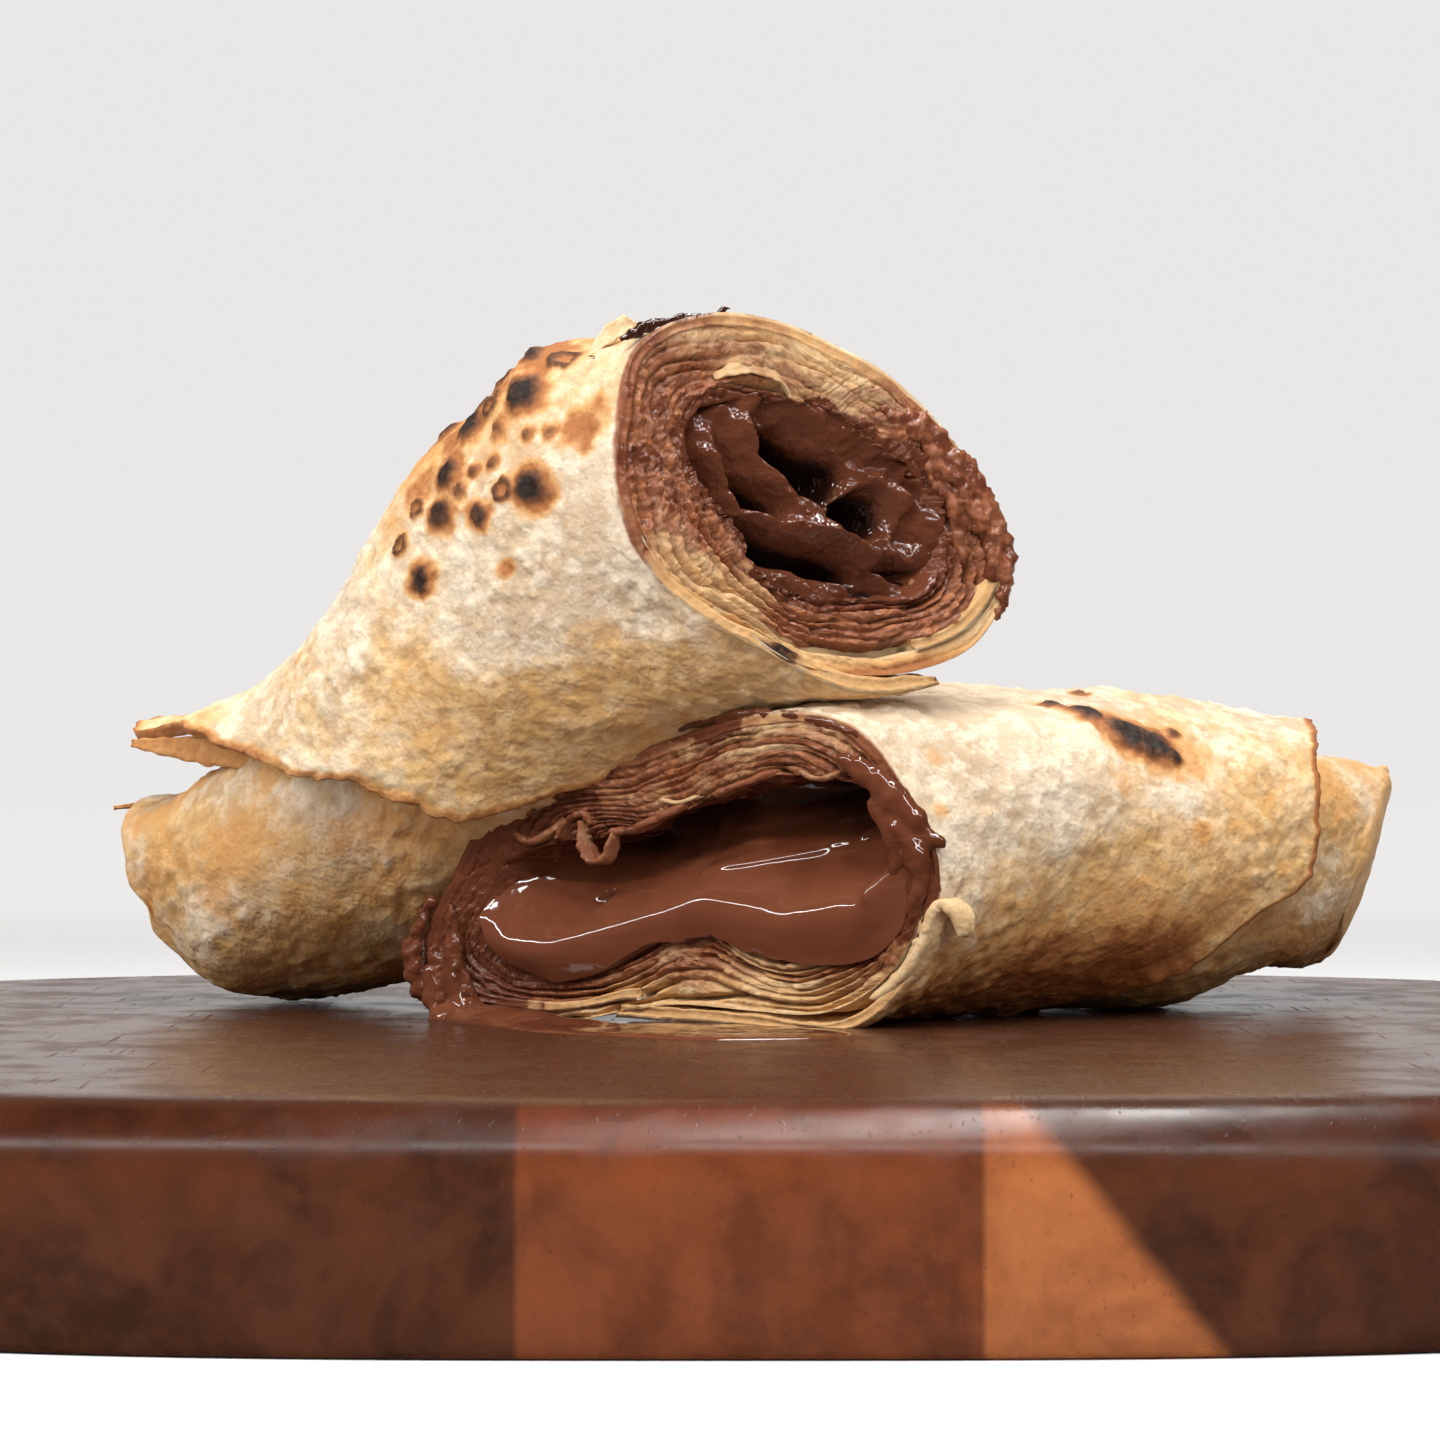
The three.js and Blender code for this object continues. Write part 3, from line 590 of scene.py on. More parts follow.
def cut_layers_of(half, kind, name, material):
    """The layered bread that shows in the cut: a ring with deep, uneven, torn layers."""
    cols, rows = 585, 62
    angle = np.arange(cols) * TURN / cols
    d = angle / DEG
    f = np.linspace(0, 1, rows)[:, None]
    outside = outline(half["core"][0], angle)
    across = hollow_point(half, kind, angle, 0) - outside
    base = outside + across * f[..., None]
    seed = int(half["seed"] * 10)
    # Layers of uneven thickness that wander, part and join.
    pitch = 1.45 + 0.45 * round_noise(angle, 1.6, 0.7, seed + 51)
    pitch = pitch + 0.7 * (bell(d, 275, 40) if kind == "lower" else bell(d, 110, 60))
    wander = 1.1 * round_noise(angle, 1.7, f * 1.3, seed + 52) + 0.18 * perlin(base / 5.5, seed + 57)
    level = f * np.linalg.norm(across, axis=-1) / pitch + wander + angle / TURN + 20
    number = np.floor(level)
    part = level - number
    slow = round_noise(angle, 1.9, number * 3.7, seed + 53)
    quick = round_noise(angle, 5.0, number * 5.3 + 2, seed + 54)
    groove = np.exp(-(np.minimum(part, 1 - part) / (0.13 + 0.12 * smooth(0.5 + 2 * slow))) ** 2)
    open_gap = 0.25 + 2.4 * smooth(0.30 + 1.5 * slow)
    torn = smooth((quick - 0.30) / 0.25)
    stain, wet = rim_paint(kind, angle, f)
    calm, gap = rim_calm(kind, angle, f), rim_gap(kind, angle, f)
    rough = 0.35 + 0.40 * stain + (0.45 * bell(d, 160, 40) if kind == "upper" else 0)
    depth = (open_gap * groove + slow + 1.2 * torn - 0.20 * (1 - (2 * part - 1) ** 2)) * (1 - 0.93 * calm)
    depth = depth + rough * fbm(base / 1.5, 3, seed + 55) * (1 - 0.6 * calm)
    depth = depth + 0.22 * stain * fbm(base / 0.8, 2, seed + 56) + 0.9 * f * f + 0.4 + 6.5 * gap
    if kind == "lower":
        flow = bell((d + 180) % 360 - 180, 3, 20)
        depth = depth * (1 - 0.85 * flow) - 0.9 * flow * smooth(f * 2.5)
    ramp_in = smooth(f * 11)
    depth = depth * ramp_in + 0.25 * (1 - ramp_in)
    shift = 0.45 * fbm(base / 7.0, 2, seed + 58) * smooth(f * 8)
    rim = base + half["axis"] * depth[..., None] + unit(across) * shift[..., None]
    leaf = stack(5 * np.cos(angle), 5 * np.sin(angle), level * pitch / (0.75 + 1.2 * calm))
    lamina = perlin(stack(number * 1.37 + 0.5, 0.3 + angle * 0.6, 0.7), seed + 71) * 0.8 + 0.5
    lamina = lamina * (1 - calm) + 0.15 * calm
    shade = np.clip((groove * smooth(open_gap / 1.6) + 0.5 * torn) * (1 - calm) + gap, 0, 1) * ramp_in

    t = np.linspace(0.10, 0.004, 9)[:, None]
    skin = loft(half["core"], angle, t)
    skin = skin - outward(half["core"], t, skin) * (0.25 * (t / 0.1) ** 0.5)[..., None]
    t = np.concatenate([np.linspace(0.016, 0.3, 22), [0.4]])[:, None]
    wall = hollow_point(half, kind, angle, t)
    uneven = 0.55 * fbm(wall / 2.6, 2, seed + 59)
    wall = wall + outward(half["hollow"], t, wall) * (uneven - 0.2)[..., None]
    rings = np.concatenate([skin, rim, wall, 0.5 * (skin[:1] + wall[-1:])])
    before, after = len(skin), len(wall) + 1

    def join(low, middle, high):
        return np.concatenate([np.full((before, cols), low), np.broadcast_to(middle, (rows, cols)),
                               np.full((after, cols), high)])

    fields = {"stain": join(0.1, stain, 0.9 if kind == "lower" else 0.8), "wet": join(0.0, wet, 0.78),
              "lamina": join(0.5, lamina, 0.5), "groove": join(0.0, shade, 0.15), "inside": join(0.0, 1.0, 1.0),
              "toast": join(0.1, 0.10 + 0.25 * smooth(0.5 + slow) + brown_lip(kind, angle, f), 0.1),
              "char": join(0.0, rim_char(kind, angle, f), 0.0), "puff": join(0.5, 0.5, 0.5),
              "leaf": np.concatenate([leaf[:1]] * before + [leaf] + [leaf[-1:]] * after)}
    fields["toast"][:before] += brown_lip(kind, angle, 0.0)
    i = np.arange(cols)
    j = (i + 1) % cols
    last = (len(rings) - 1) * cols
    quads = np.concatenate([grid_quads(len(rings), cols, True), np.stack([last + i, i, j, last + j], -1)])
    points = settled(kind, rings.reshape(-1, 3))
    if inside_out(points, quads):
        quads = quads[:, ::-1]
    return make_mesh(name, points, quads, np.zeros((0, 3)), fields, material)


def rim_calm(kind, angle, f):
    """Where the cut edge is one thick smooth layer, without the fine leaves."""
    d = (angle / DEG) % 360
    if kind == "lower":
        return 0.7 * bell(d, 5, 20) + 0.6 * bell(d, 190, 26) + 0.35 * bell(d, 275, 45) + 0.66 * bell(d, 112, 42)
    thick_lip = smooth((d - 236) / 24) * (1 - smooth((d - 330) / 18)) * (1 - smooth((f - 0.27) / 0.05))
    return 0.68 * bell(d, 158, 42) + 0.40 * bell(d, 85, 30) + thick_lip


def rim_gap(kind, angle, f):
    """An open gap between two layers of the cut edge."""
    d = (angle / DEG) % 360
    if kind == "lower":
        return 0.55 * bell(f, 0.13 + 0.05 * np.sin(d * 0.09), 0.035) * bell(d, 282, 20)
    return bell(f, 0.33, 0.045) * smooth((d - 258) / 16) * (1 - smooth((d - 318) / 14))


def brown_lip(kind, angle, f):
    """The lowest layer of the upper cut is toasted along its underside."""
    return 0 if kind == "lower" else 1.1 * bell(angle / DEG, 293, 18) * bell(f, 0.0, 0.14)


def rim_char(kind, angle, f):
    """A burnt place at the lower left of the upper cut."""
    return 0 if kind == "lower" else 1.2 * bell(angle / DEG, 252, 9) * bell(f, 0.0, 0.13)


def roll_of(half, kind, name, material):
    """The roll under its outermost turn, with its far end pressed shut."""
    cols = 300
    angle = np.arange(cols) * TURN / cols
    end, axis = half["core"][-1], half["axis"]
    rings, fields = [], {k: [] for k in ("toast", "stain", "inside", "puff", "gold")}

    def add(points, **values):
        rings.append(points)
        for key in fields:
            fields[key].append(np.broadcast_to(values.get(key, 0.0), points.shape[:2]).astype(float))

    # The far end, from its middle outwards.
    s = np.sin(np.linspace(0.04, 1, 20)[:-1] * math.pi / 2)[:, None]
    pleat = 0.9 * round_noise(angle, 4, s * 2, 61) * s + 0.35 * np.sin(9 * angle + 7 * s) * s * s
    cap = outline(end, angle, 0.0, s) + axis * (4 * np.sqrt(1 - s * s) + pleat)[..., None]
    add(cap, toast=0.25, puff=0.4, gold=0.7)
    # The skin, from the far end to just behind the cut.
    t = np.concatenate([np.linspace(1, 0.40, 104), np.linspace(0.40, 0.05, 9)[1:]])[:, None]
    base = loft(half["core"], angle, t)
    way = outward(half["core"], t, base)
    relief, puffed = skin_relief(base, int(half["seed"] * 10) + 3)
    out = -waver(angle, t, half["seed"]) + relief * smooth((1 - t) * 30)
    toast = (0.10 + 0.42 * smooth(0.45 + 1.1 * fbm(base / 11, 3, 77)) * (1 - 0.45 * puffed)) * smooth(t * 3)
    # Painted shade: the skin of the roll is made more golden where it faces down.
    add(base + way * out[..., None], toast=toast, puff=puffed,
        gold=np.clip(0.80 + 0.35 * smooth(-way[..., 2]) - 0.30 * puffed + fbm(base / 13.0, 3, 46), 0, 1))
    # Across the ring behind the cut layers, and back along the hollow.
    outside = loft(half["core"], angle, 0.05, 1.0)
    inside = hollow_point(half, kind, angle, 0.05)
    inside = inside + outward(half["hollow"], 0.05, inside) * 1.2
    add(outside + (inside - outside) * np.linspace(0, 1, 5)[:, None, None], inside=1.0)
    t = np.array([0.2, 0.35, 0.5, 0.7, 0.86])[:, None]
    wall = hollow_point(half, kind, angle, t)
    add(wall + outward(half["hollow"], t, wall) * 1.2, stain=0.8, inside=1.0)
    return ring_body(name, settled(kind, np.concatenate(rings)), end["c"] + axis * 4.2,
                     half["hollow"][-1]["c"] + axis * 2, {k: np.concatenate(v) for k, v in fields.items()}, material)


def rim_paint(kind, angle, f):
    """Dry chocolate stain and wet chocolate on the cut edge, by angle and depth into the edge."""
    d = (angle / DEG) % 360

    def turn(centre, width):
        return bell((d - centre + 180) % 360 - 180, 0, width)

    if kind == "lower":
        stain = 0.42 * turn(104, 42) + 0.95 * turn(187, 38) + 0.7 * turn(15, 30) + 0.32 + 0.2 * f
        stain = stain + 0.55 * turn(272, 45) * smooth((f - 0.22) / 0.5)
        stain = stain * (1 - 0.25 * turn(272, 50)) * (1 - 0.5 * turn(315, 22) * (1 - f))
        stain = stain * (1 - 0.8 * turn(275, 45) * (1 - smooth((f - 0.10) / 0.05)))
        wet = 1.1 * turn(4, 24) + 0.95 * turn(195, 34) + 0.42 * turn(150, 30)
        wet = wet + 0.80 * turn(82, 18) * (1 - smooth(f * 4)) + 0.5 * smooth((f - 0.8) / 0.2)
    else:
        stain = 0.95 * turn(165, 46) + 0.90 * turn(14, 40) + 0.26 * turn(85, 40) + 0.35 * f
        stain = stain * (1 - 0.9 * turn(228, 19) * (1 - smooth((f - 0.38) / 0.2)))
        below = smooth((d - 236) / 18) * (1 - smooth((d - 345) / 20))
        stain = stain * (1 - below) + below * (0.06 + 0.84 * smooth((f - 0.31) / 0.06))
        wet = 0.80 * turn(8, 38) * smooth(f * 5 - 0.2) + 0.6 * smooth((f - 0.72) / 0.28) + 0.44 * turn(165, 42)
        wet = wet * (1 - below) + below * 0.75 * smooth((f - 0.72) / 0.25)
    return np.clip(stain, 0, 1), np.clip(wet, 0, 1)


# ---- Chocolate --------------------------------------------------------------------------------
def stroke_distance(u, v, path):
    """Distance from points (u, v) to a path of straight strokes."""
    best = np.full(np.broadcast(u, v).shape, np.inf)
    for (x0, y0), (x1, y1) in zip(path, path[1:]):
        f = np.clip(((u - x0) * (x1 - x0) + (v - y0) * (y1 - y0)) / ((x1 - x0) ** 2 + (y1 - y0) ** 2), 0, 1)
        best = np.minimum(best, np.hypot(u - x0 - f * (x1 - x0), v - y0 - f * (y1 - y0)))
    return best


# Height of the pool's lip over the cut's middle, by distance across.
LOWER_LIP = ((-33, -7), (-20, -10.6), (-10, -7.5), (2, -3.6), (15, -5.7), (27, -4), (35, 4))


def rope(u, v, path, half_width):
    """A rounded ridge along a path, 1 high."""
    return np.exp(-(stroke_distance(u, v, path) / half_width) ** 2)


def lower_face(u, v):
    """A runny pool: a steep bulging front, and behind its rounded lip it lies back under the roof."""
    lip = soften(LOWER_LIP, 2.0)(u) + 0.2 * perlin(stack(u / 5.0, 0.5, 0.5), 80)
    rise = v - lip
    back = 1.45 * np.log1p(np.exp(rise * 0.85)) / 0.85 - 0.85 - 0.020 * np.maximum(rise - 3, 0) ** 2
    front = 0.10 * np.maximum(-rise, 0) + 0.03 * np.maximum(-rise - 1.5, 0) ** 2
    blob = 2.4 * np.exp(-(((u + 21) / 8.5) ** 2) - ((v + 11.5) / 5) ** 2)
    waves = 0.45 * rope(u, v, ((-26.3, -7.0), (-24.3, -8.4), (-18, -8.0)), 0.9)
    waves += 0.80 * rope(u, v, ((-1.5, 0.4), (5, 1.6), (12.6, 3.4)), 0.9)
    waves += 0.50 * rope(u, v, ((3, 2.4), (9, 4.0), (15, 4.6)), 0.6)
    waves += 0.60 * rope(u, v, ((28.2, -0.6), (29.0, -3.4)), 0.9)
    waves += 1.0 * rope(u, v, ((-6, 6.2), (2, 7.0), (9, 9.6), (17, 11.8)), 1.4)
    waves += 0.9 * rope(u, v, ((12, 8), (17, 9.2), (20, 7.4), (17, 5.6)), 1.0)
    waves += 0.8 * rope(u, v, ((-29, 0.5), (-22, 1.8), (-15, 0.8)), 1.6)
    hole = 3.4 * np.exp(-(((u + 19.5) / 0.8) ** 2) - ((v + 4.7) / 1.1) ** 2)
    spill = smooth((u - 28) / 6)
    flow = 0.22 * perlin(stack(u / 9, v / 6, 0.5), 81)
    return (np.minimum(back + front, 24) - 0.6 - blob - waves + hole) * (1 - spill) - 0.3 * spill + flow


# Folds of the upper filling: height, half width, path. Then its holes: depth, half width, path.
RIDGES = (
    (5.6, 2.5, ((-8.6, 14.7), (-9.8, 9.5), (-7.0, 5.6), (-3.6, 2.4), (-0.4, -1.0), (3.4, -4.2))),
    (5.0, 2.1, ((-15.0, 5.5), (-12.4, 1.6), (-9.8, -2.2), (-2.6, -4.2), (5.2, -5.8), (10.5, -8.4))),
    (3.2, 3.4, ((-2, 13.5), (5, 12.0), (11.5, 8.8))),
    (3.6, 3.0, ((-12.5, 13.0), (-14.5, 9.0), (-13.0, 4.5))),
    (3.2, 3.6, ((15.0, -8.5), (20.0, -8.0), (21.5, -3.0))),
    (3.6, 2.4, ((8.5, 2.5), (13.5, 3.2), (16.5, -0.8), (14.5, -5.0))),
    (2.6, 2.4, ((-12, -8.0), (-4.0, -11.5), (5, -13.0))),
    (2.2, 1.6, ((15, 7.5), (19, 3.5), (21.5, -1))),
)
HOLES = (
    (9.5, 1.9, ((-19.4, 11), (-18.4, 6.3), (-15.6, 1.4))),
    (9.0, 1.7, ((-9.6, 1.9), (-6, 0.0), (-3.8, -1.6))),
    (14.0, 2.5, ((-3.4, 7.4), (1.5, 5.0), (6.4, 3.0))),
    (7.5, 1.6, ((-10.8, -5.0), (-1.3, -8.3), (7.5, -11.0))),
    (15.0, 2.9, ((11.0, -1.8), (12.0, -2.2))),
    (4.5, 1.2, ((12.6, -9.4), (18.5, -11.6))),
    (5.0, 1.3, ((-14.5, 14.5), (-11.5, 15.6))),
)


def upper_face(u, v):
    """Stiffer filling in thick folds, with deep holes between them."""
    wu = u + 0.7 * perlin(stack(u / 6, v / 6, 0.2), 91)
    wv = v + 0.7 * perlin(stack(u / 6, v / 6, 5.2), 92)
    high = 0
    for tall, half_width, path in RIDGES:
        high = high + (tall * rope(wu, wv, path, half_width)) ** 3
    depth = 6.0 - high ** (1 / 3)
    for deep, half_width, path in HOLES:
        depth = depth + deep * np.exp(-(stroke_distance(wu, wv, path) / half_width) ** 4)
    crumbly = smooth((u - 4) / 8) * smooth((v + 8) / 6)
    clots = 1.1 * fbm(stack(u / 2.6, v / 2.6, 3.5), 3, 94) + 0.8 * (0.5 - cells(stack(u / 2.2, v / 2.2, 0.5), 95))
    soft = 0.75 * perlin(stack(u / 5.5, v / 4.0, 3.5), 96) + 0.34 * fbm(stack(wu / 2.4, wv / 2.0, 1.5), 3, 97)
    fold = 1 - np.abs(perlin(stack((wu - wv) / 24, (wu + wv) / 7.5, 2.5), 99))
    depth = depth + 1.6 - 2.6 * fold ** 3
    wrinkle = 0.30 * perlin(stack((wu - wv) / 3.4, (wu + wv) / 1.5, 7.5), 103)
    return depth + clots * crumbly + soft + wrinkle + 0.16 * perlin(stack(u / 1.3, v / 1.3, 8.5), 104)


def chocolate_of(half, kind, name, material):
    """The filling: its face in the cut, and behind it a body that ends inside the roll."""
    cols, rows = 350, 112
    angle = np.arange(cols) * TURN / cols
    cut = half["hollow"][0]
    scale = (np.linspace(0.006, 1, rows) ** 0.9)[:, None]
    flat = outline(cut, angle, 0.0, scale) - cut["c"]
    depth = (lower_face if kind == "lower" else upper_face)(flat @ cut["e1"], flat @ cut["e2"])
    at = np.maximum(depth, 0) / ROLL_LENGTH
    face = hollow_point(half, kind, angle, at, -0.25 * scale, scale)
    face = face + half["axis"] * np.minimum(depth, 0)[..., None]
    straight = cut["c"] + flat + half["axis"] * depth[..., None]
    face = straight + (face - straight) * (scale ** 7)[..., None]
    x = np.linspace(0.06, 1, 10)[:, None]
    wall = hollow_point(half, kind, angle, at[-1:] + x * (0.8 - at[-1:]), -0.2 + 1.5 * x)
    # Painted shade: the filling is darkened the deeper its face lies behind the cut, to near black in its holes and
    # over its hidden body.
    near, far = (9.5, 19.0) if kind == "lower" else (5.0, 8.6)
    shade = np.concatenate([smooth((depth - near) / (far - near)), np.ones((10, cols))])
    # Painted light: the shallow front of the lower pool is made paler.
    if kind == "lower":
        shade[:rows] -= smooth((11 - depth) / 11)
    return ring_body(name, np.concatenate([face, wall]), face[0].mean(0), half["hollow"][-1]["c"] - half["axis"] * 4,
                     {"deep": shade, "stiff": np.full(shade.shape, float(kind == "upper"))}, material)


# ---- Board ------------------------------------------------------------------------------------
def board_piece(material):
    """An oval with flat sides and rounded edges. The profile is (in from the edge, up)."""
    cols = 520
    profile = ((120, 0), (40, 0), (2.6, 0), (1.2, 0.25), (0.4, 1.2), (0.1, 3), (0, 8), (0, 14), (0, 19.5),
               (0.25, 21.8), (0.9, 23.8), (2.0, 25.8), (3.6, 27.5), (5.6, 28.8), (8, 29.6), (11, 30),
               (16, 30), (60, 30), (130, 30))
    inset, z = np.array(profile, float).T[..., None]
    angle = np.arange(cols) * TURN / cols
    c, s = (np.sign(w) * np.abs(w) ** (2 / 3) for w in (np.cos(angle), np.sin(angle)))
    return ring_body("board_wood", stack((170 - inset) * c, (145 - inset) * s, z), (0, 0, 0), (0, 0, BOARD_TOP), {},
                     material)


# ---- Small pieces -----------------------------------------------------------------------------
def on_cut(half, u, v, depth=0.0):
    """The point (u across, v up) of a half's cut, that far behind it."""
    cut = half["skin"][0]
    return cut["c"] + u * cut["e1"] + v * cut["e2"] + depth * half["axis"]


def resample(points, count):
    """A smooth curve through points, count points long."""
    points = np.asarray(points, float)
    last = len(points) - 1
    x = np.linspace(0, last, count)
    k = np.clip(np.floor(x).astype(int), 0, last - 1)
    p = [points[np.clip(k + o, 0, last)] for o in (-1, 0, 1, 2)]
    return hermite(*p, (x - k)[:, None])


def ribbon(name, path, widths, side, thick=0.8, seed=1, rag=0.35, curl=0.0, fields=()):
    """A thin torn strip along path, reaching along side by widths."""
    rows, cols = 44, 10
    line = resample(path, rows)
    width = resample(np.array(widths, float)[:, None], rows)
    side = unit(side)
    face = unit(np.cross(unit(np.gradient(line, axis=0)), side))[:, None]
    y = np.linspace(-1, 1, cols)
    torn = 1 + rag * perlin(stack(np.arange(rows) / 3.1, seed, 0.5), seed)[:, None]
    lift = curl * y * y * width + 0.25 * perlin(stack(line[:, None, 0] / 2, y * 2, seed), seed + 3)
    middle = line[:, None] + side * (y * (width * torn))[..., None] + face * lift[..., None]
    ends = np.sqrt(np.clip(1 - np.linspace(-1, 1, rows) ** 10, 0.02, 1))[:, None]
    half_thick = face * (0.5 * thick * ends * np.sqrt(np.clip(1 - y ** 6, 0.05, 1)))[..., None]
    ring = np.concatenate([middle + half_thick, (middle - half_thick)[:, ::-1]], 1)
    values = {k: np.full(ring.shape[:2], float(v)) for k, v in dict(fields).items()}
    return ring_body(name, ring, ring[0].mean(0), ring[-1].mean(0), values, bread)


def lumps(items, rows=12, cols=18):
    """Uneven balls as points and faces: each centre, three radii, roughness, seed."""
    polar = np.linspace(0, math.pi, rows)[1:-1, None]
    around = np.arange(cols) * TURN / cols
    ball = stack(np.sin(polar) * np.cos(around), np.sin(polar) * np.sin(around), np.cos(polar))
    whole = np.concatenate([ball.reshape(-1, 3), [[0, 0, 1]], [[0, 0, -1]]])
    quads, triangles = grid_quads(rows - 2, cols, True), caps(rows - 2, cols)
    starts = np.arange(len(items))[:, None, None] * len(whole)
    points = [np.array(centre) + whole * np.array(radii) * (1 + rough * fbm(whole * 1.6 + seed * 3.1, 3, seed))[:, None]
              for centre, radii, rough, seed in items]
    return np.concatenate(points), (quads + starts).reshape(-1, 4), (triangles + starts).reshape(-1, 3)


def crags(name, items, material, voxel=0.45, rough=0.35, grain=1.5, fields=()):
    """Overlapping lumps grown together into one rough body."""
    points, quads, triangles = lumps(items)
    raw = bpy.data.meshes.new("raw")
    raw.from_pydata(points.tolist(), [], quads.tolist() + triangles.tolist())
    temp = bpy.data.objects.new("raw", raw)
    bpy.context.scene.collection.objects.link(temp)
    remesh = temp.modifiers.new("grow", "REMESH")
    remesh.mode = "VOXEL"
    remesh.voxel_size = voxel
    solid = temp.evaluated_get(bpy.context.evaluated_depsgraph_get()).to_mesh()
    place, normal = np.zeros((2, len(solid.vertices), 3))
    solid.vertices.foreach_get("co", place.ravel())
    solid.vertices.foreach_get("normal", normal.ravel())
    faces = [tuple(p.vertices) for p in solid.polygons]
    bpy.data.objects.remove(temp)
    bpy.data.meshes.remove(raw)
    place = place + normal * (rough * fbm(place / grain, 3, 7))[:, None]
    values = {k: np.full(len(place), float(v)) for k, v in dict(fields).items()}
    return make_mesh(name, place, [f for f in faces if len(f) == 4],
                     np.reshape([f for f in faces if len(f) == 3], (-1, 3)), values, material)


def cut_ribbon(name, half, path, widths, depth, thick, **rest):
    """A ribbon along a path (u, v) on a cut, reaching back along the roll."""
    ribbon(name, [on_cut(half, u, v, depth) for u, v in path], widths, half["axis"], thick, **rest)


def cut_crags(name, half, material, lines, lump_rough=0.35, stretch=1.3, **rest):
    """Crags along lines on a cut: path (u, v), radii, seed, depth and, if unlike the rest, jitter and step."""
    crags(name, [lump for line in lines for lump in strand(half, lump_rough, stretch, *line)], material, **rest)


def strand(half, rough, stretch, path, radii, seed, depth, jitter=0.6, step=0.9):
    """Lumps along a line on the cut, thick and thin by turns."""
    path = resample([on_cut(half, u, v, depth) for u, v in path], 60)
    steps = np.concatenate([[0], np.cumsum(np.linalg.norm(np.diff(path, axis=0), axis=1))])
    count = max(int(steps[-1] / step), 2)
    out = []
    for k, s in enumerate(np.linspace(0, steps[-1], count)):
        place = np.array([np.interp(s, steps, path[:, i]) for i in range(3)])
        wander = jitter * np.array([perlin(np.array([[s / 2.2, seed, i + 0.5]]), seed)[0] for i in range(3)])
        size = np.interp(s / steps[-1], np.linspace(0, 1, len(radii)), radii)
        size = size * (1 + 0.45 * perlin(np.array([[s / 1.7, seed + 0.5, 4.5]]), seed)[0])
        out.append((place + wander, (size, size * 0.9, size * stretch), rough, seed + k))
    return out


def film(name, centre, radii, height, material, seed=5, bumps=()):
    """A flat puddle on the board: radii at equal angles about its centre, and bumps (x, y, radius, height)."""
    cols, rows = 170, 28
    angle = np.arange(cols) * TURN / cols
    edge = radius_at(np.array(radii, float), angle) * (1 + 0.05 * round_noise(angle, 4, 0.5, seed))
    s = np.linspace(0.02, 1, rows)[:, None]
    x = centre[0] + np.cos(angle) * edge * s
    y = centre[1] + np.sin(angle) * edge * s
    z = height * np.sqrt(np.clip(1 - s ** 6, 0, 1)) * (1 + 0.25 * perlin(stack(x / 7, y / 7, seed), seed))
    for bx, by, br, bh in bumps:
        z = z + bh * np.exp(-(((x - bx) ** 2 + (y - by) ** 2) / br ** 2)) * np.sqrt(np.clip(1 - s ** 4, 0, 1))
    top, under = BOARD_TOP + 0.03, BOARD_TOP - 0.2
    rings = np.concatenate([stack(x, y, top + z), stack(x[-1:], y[-1:], under)])
    return ring_body(name, rings, (*centre, top + z[0].mean()), (*centre, under), {}, material)


# ---- Materials --------------------------------------------------------------------------------
class Finish:
    """A material and short ways to add its nodes. Texture scales are per metre."""

    def __init__(self, name):
        self.material = bpy.data.materials.new(name)
        self.material.use_nodes = True
        self.tree = self.material.node_tree
        self.shader = next(n for n in self.tree.nodes if n.type == "BSDF_PRINCIPLED")
        self.place = self.node("ShaderNodeTexCoord").outputs["Object"]

    def node(self, kind, **settings):
        node = self.tree.nodes.new(kind)
        for key, value in settings.items():
            setattr(node, key, value)
        return node

    def plug(self, value, socket):
        if isinstance(value, bpy.types.NodeSocket):
            self.tree.links.new(value, socket)
        elif value is not None:
            if isinstance(value, tuple) and len(value) == 3 and socket.type == "RGBA":
                value = (*value, 1)
            socket.default_value = value

    def field(self, name):
        return self.node("ShaderNodeAttribute", attribute_name=name).outputs["Fac"]

    def fill(self, node, **values):
        for key, value in values.items():
            self.plug(value, node.inputs[key.replace("_", " ")])

    def noise(self, scale, detail, rough, stretch=None, distortion=0.0, where=None):
        where = where or self.place
        if stretch:
            mapping = self.node("ShaderNodeMapping")
            self.fill(mapping, Vector=where, Scale=stretch)
            where = mapping.outputs["Vector"]
        node = self.node("ShaderNodeTexNoise")
        self.fill(node, Vector=where, Scale=scale, Detail=detail, Roughness=rough, Distortion=distortion)
        return node.outputs["Fac"]

    def ramp(self, value, low, high):
        """0 at low, 1 at high, smooth between."""
        node = self.node("ShaderNodeMapRange", interpolation_type="SMOOTHSTEP")
        self.fill(node, Value=value, From_Min=low, From_Max=high)
        return node.outputs["Result"]

    def maths(self, how, a, b=None):
        node = self.node("ShaderNodeMath", operation=how)
        self.plug(a, node.inputs[0])
        self.plug(b, node.inputs[1])
        return node.outputs[0]

    def times(self, a, b):
        return self.maths("MULTIPLY", a, b)

    def plus(self, a, b):
        return self.maths("ADD", a, b)

    def minus(self, a, b):
        return self.maths("SUBTRACT", a, b)

    def split(self):
        node = self.node("ShaderNodeSeparateXYZ")
        self.plug(self.place, node.inputs[0])
        return node.outputs

    def mix(self, amount, a, b, how="MIX"):
        node = self.node("ShaderNodeMix", data_type="RGBA", blend_type=how)
        self.plug(amount, node.inputs[0])
        self.plug(a, node.inputs[6])
        self.plug(b, node.inputs[7])
        return node.outputs[2]

    def lerp(self, amount, a, b):
        node = self.node("ShaderNodeMix", data_type="FLOAT")
        self.plug(amount, node.inputs[0])
        self.plug(a, node.inputs[2])
        self.plug(b, node.inputs[3])
        return node.outputs[0]

    def bump(self, height, distance, strength=1.0, normal=None):
        node = self.node("ShaderNodeBump")
        self.fill(node, Strength=strength, Distance=distance, Height=height, Normal=normal)
        return node.outputs["Normal"]

    def finish(self, colour, roughness, **sockets):
        self.fill(self.shader, Base_Color=colour, Roughness=roughness, **sockets)
        return self.material


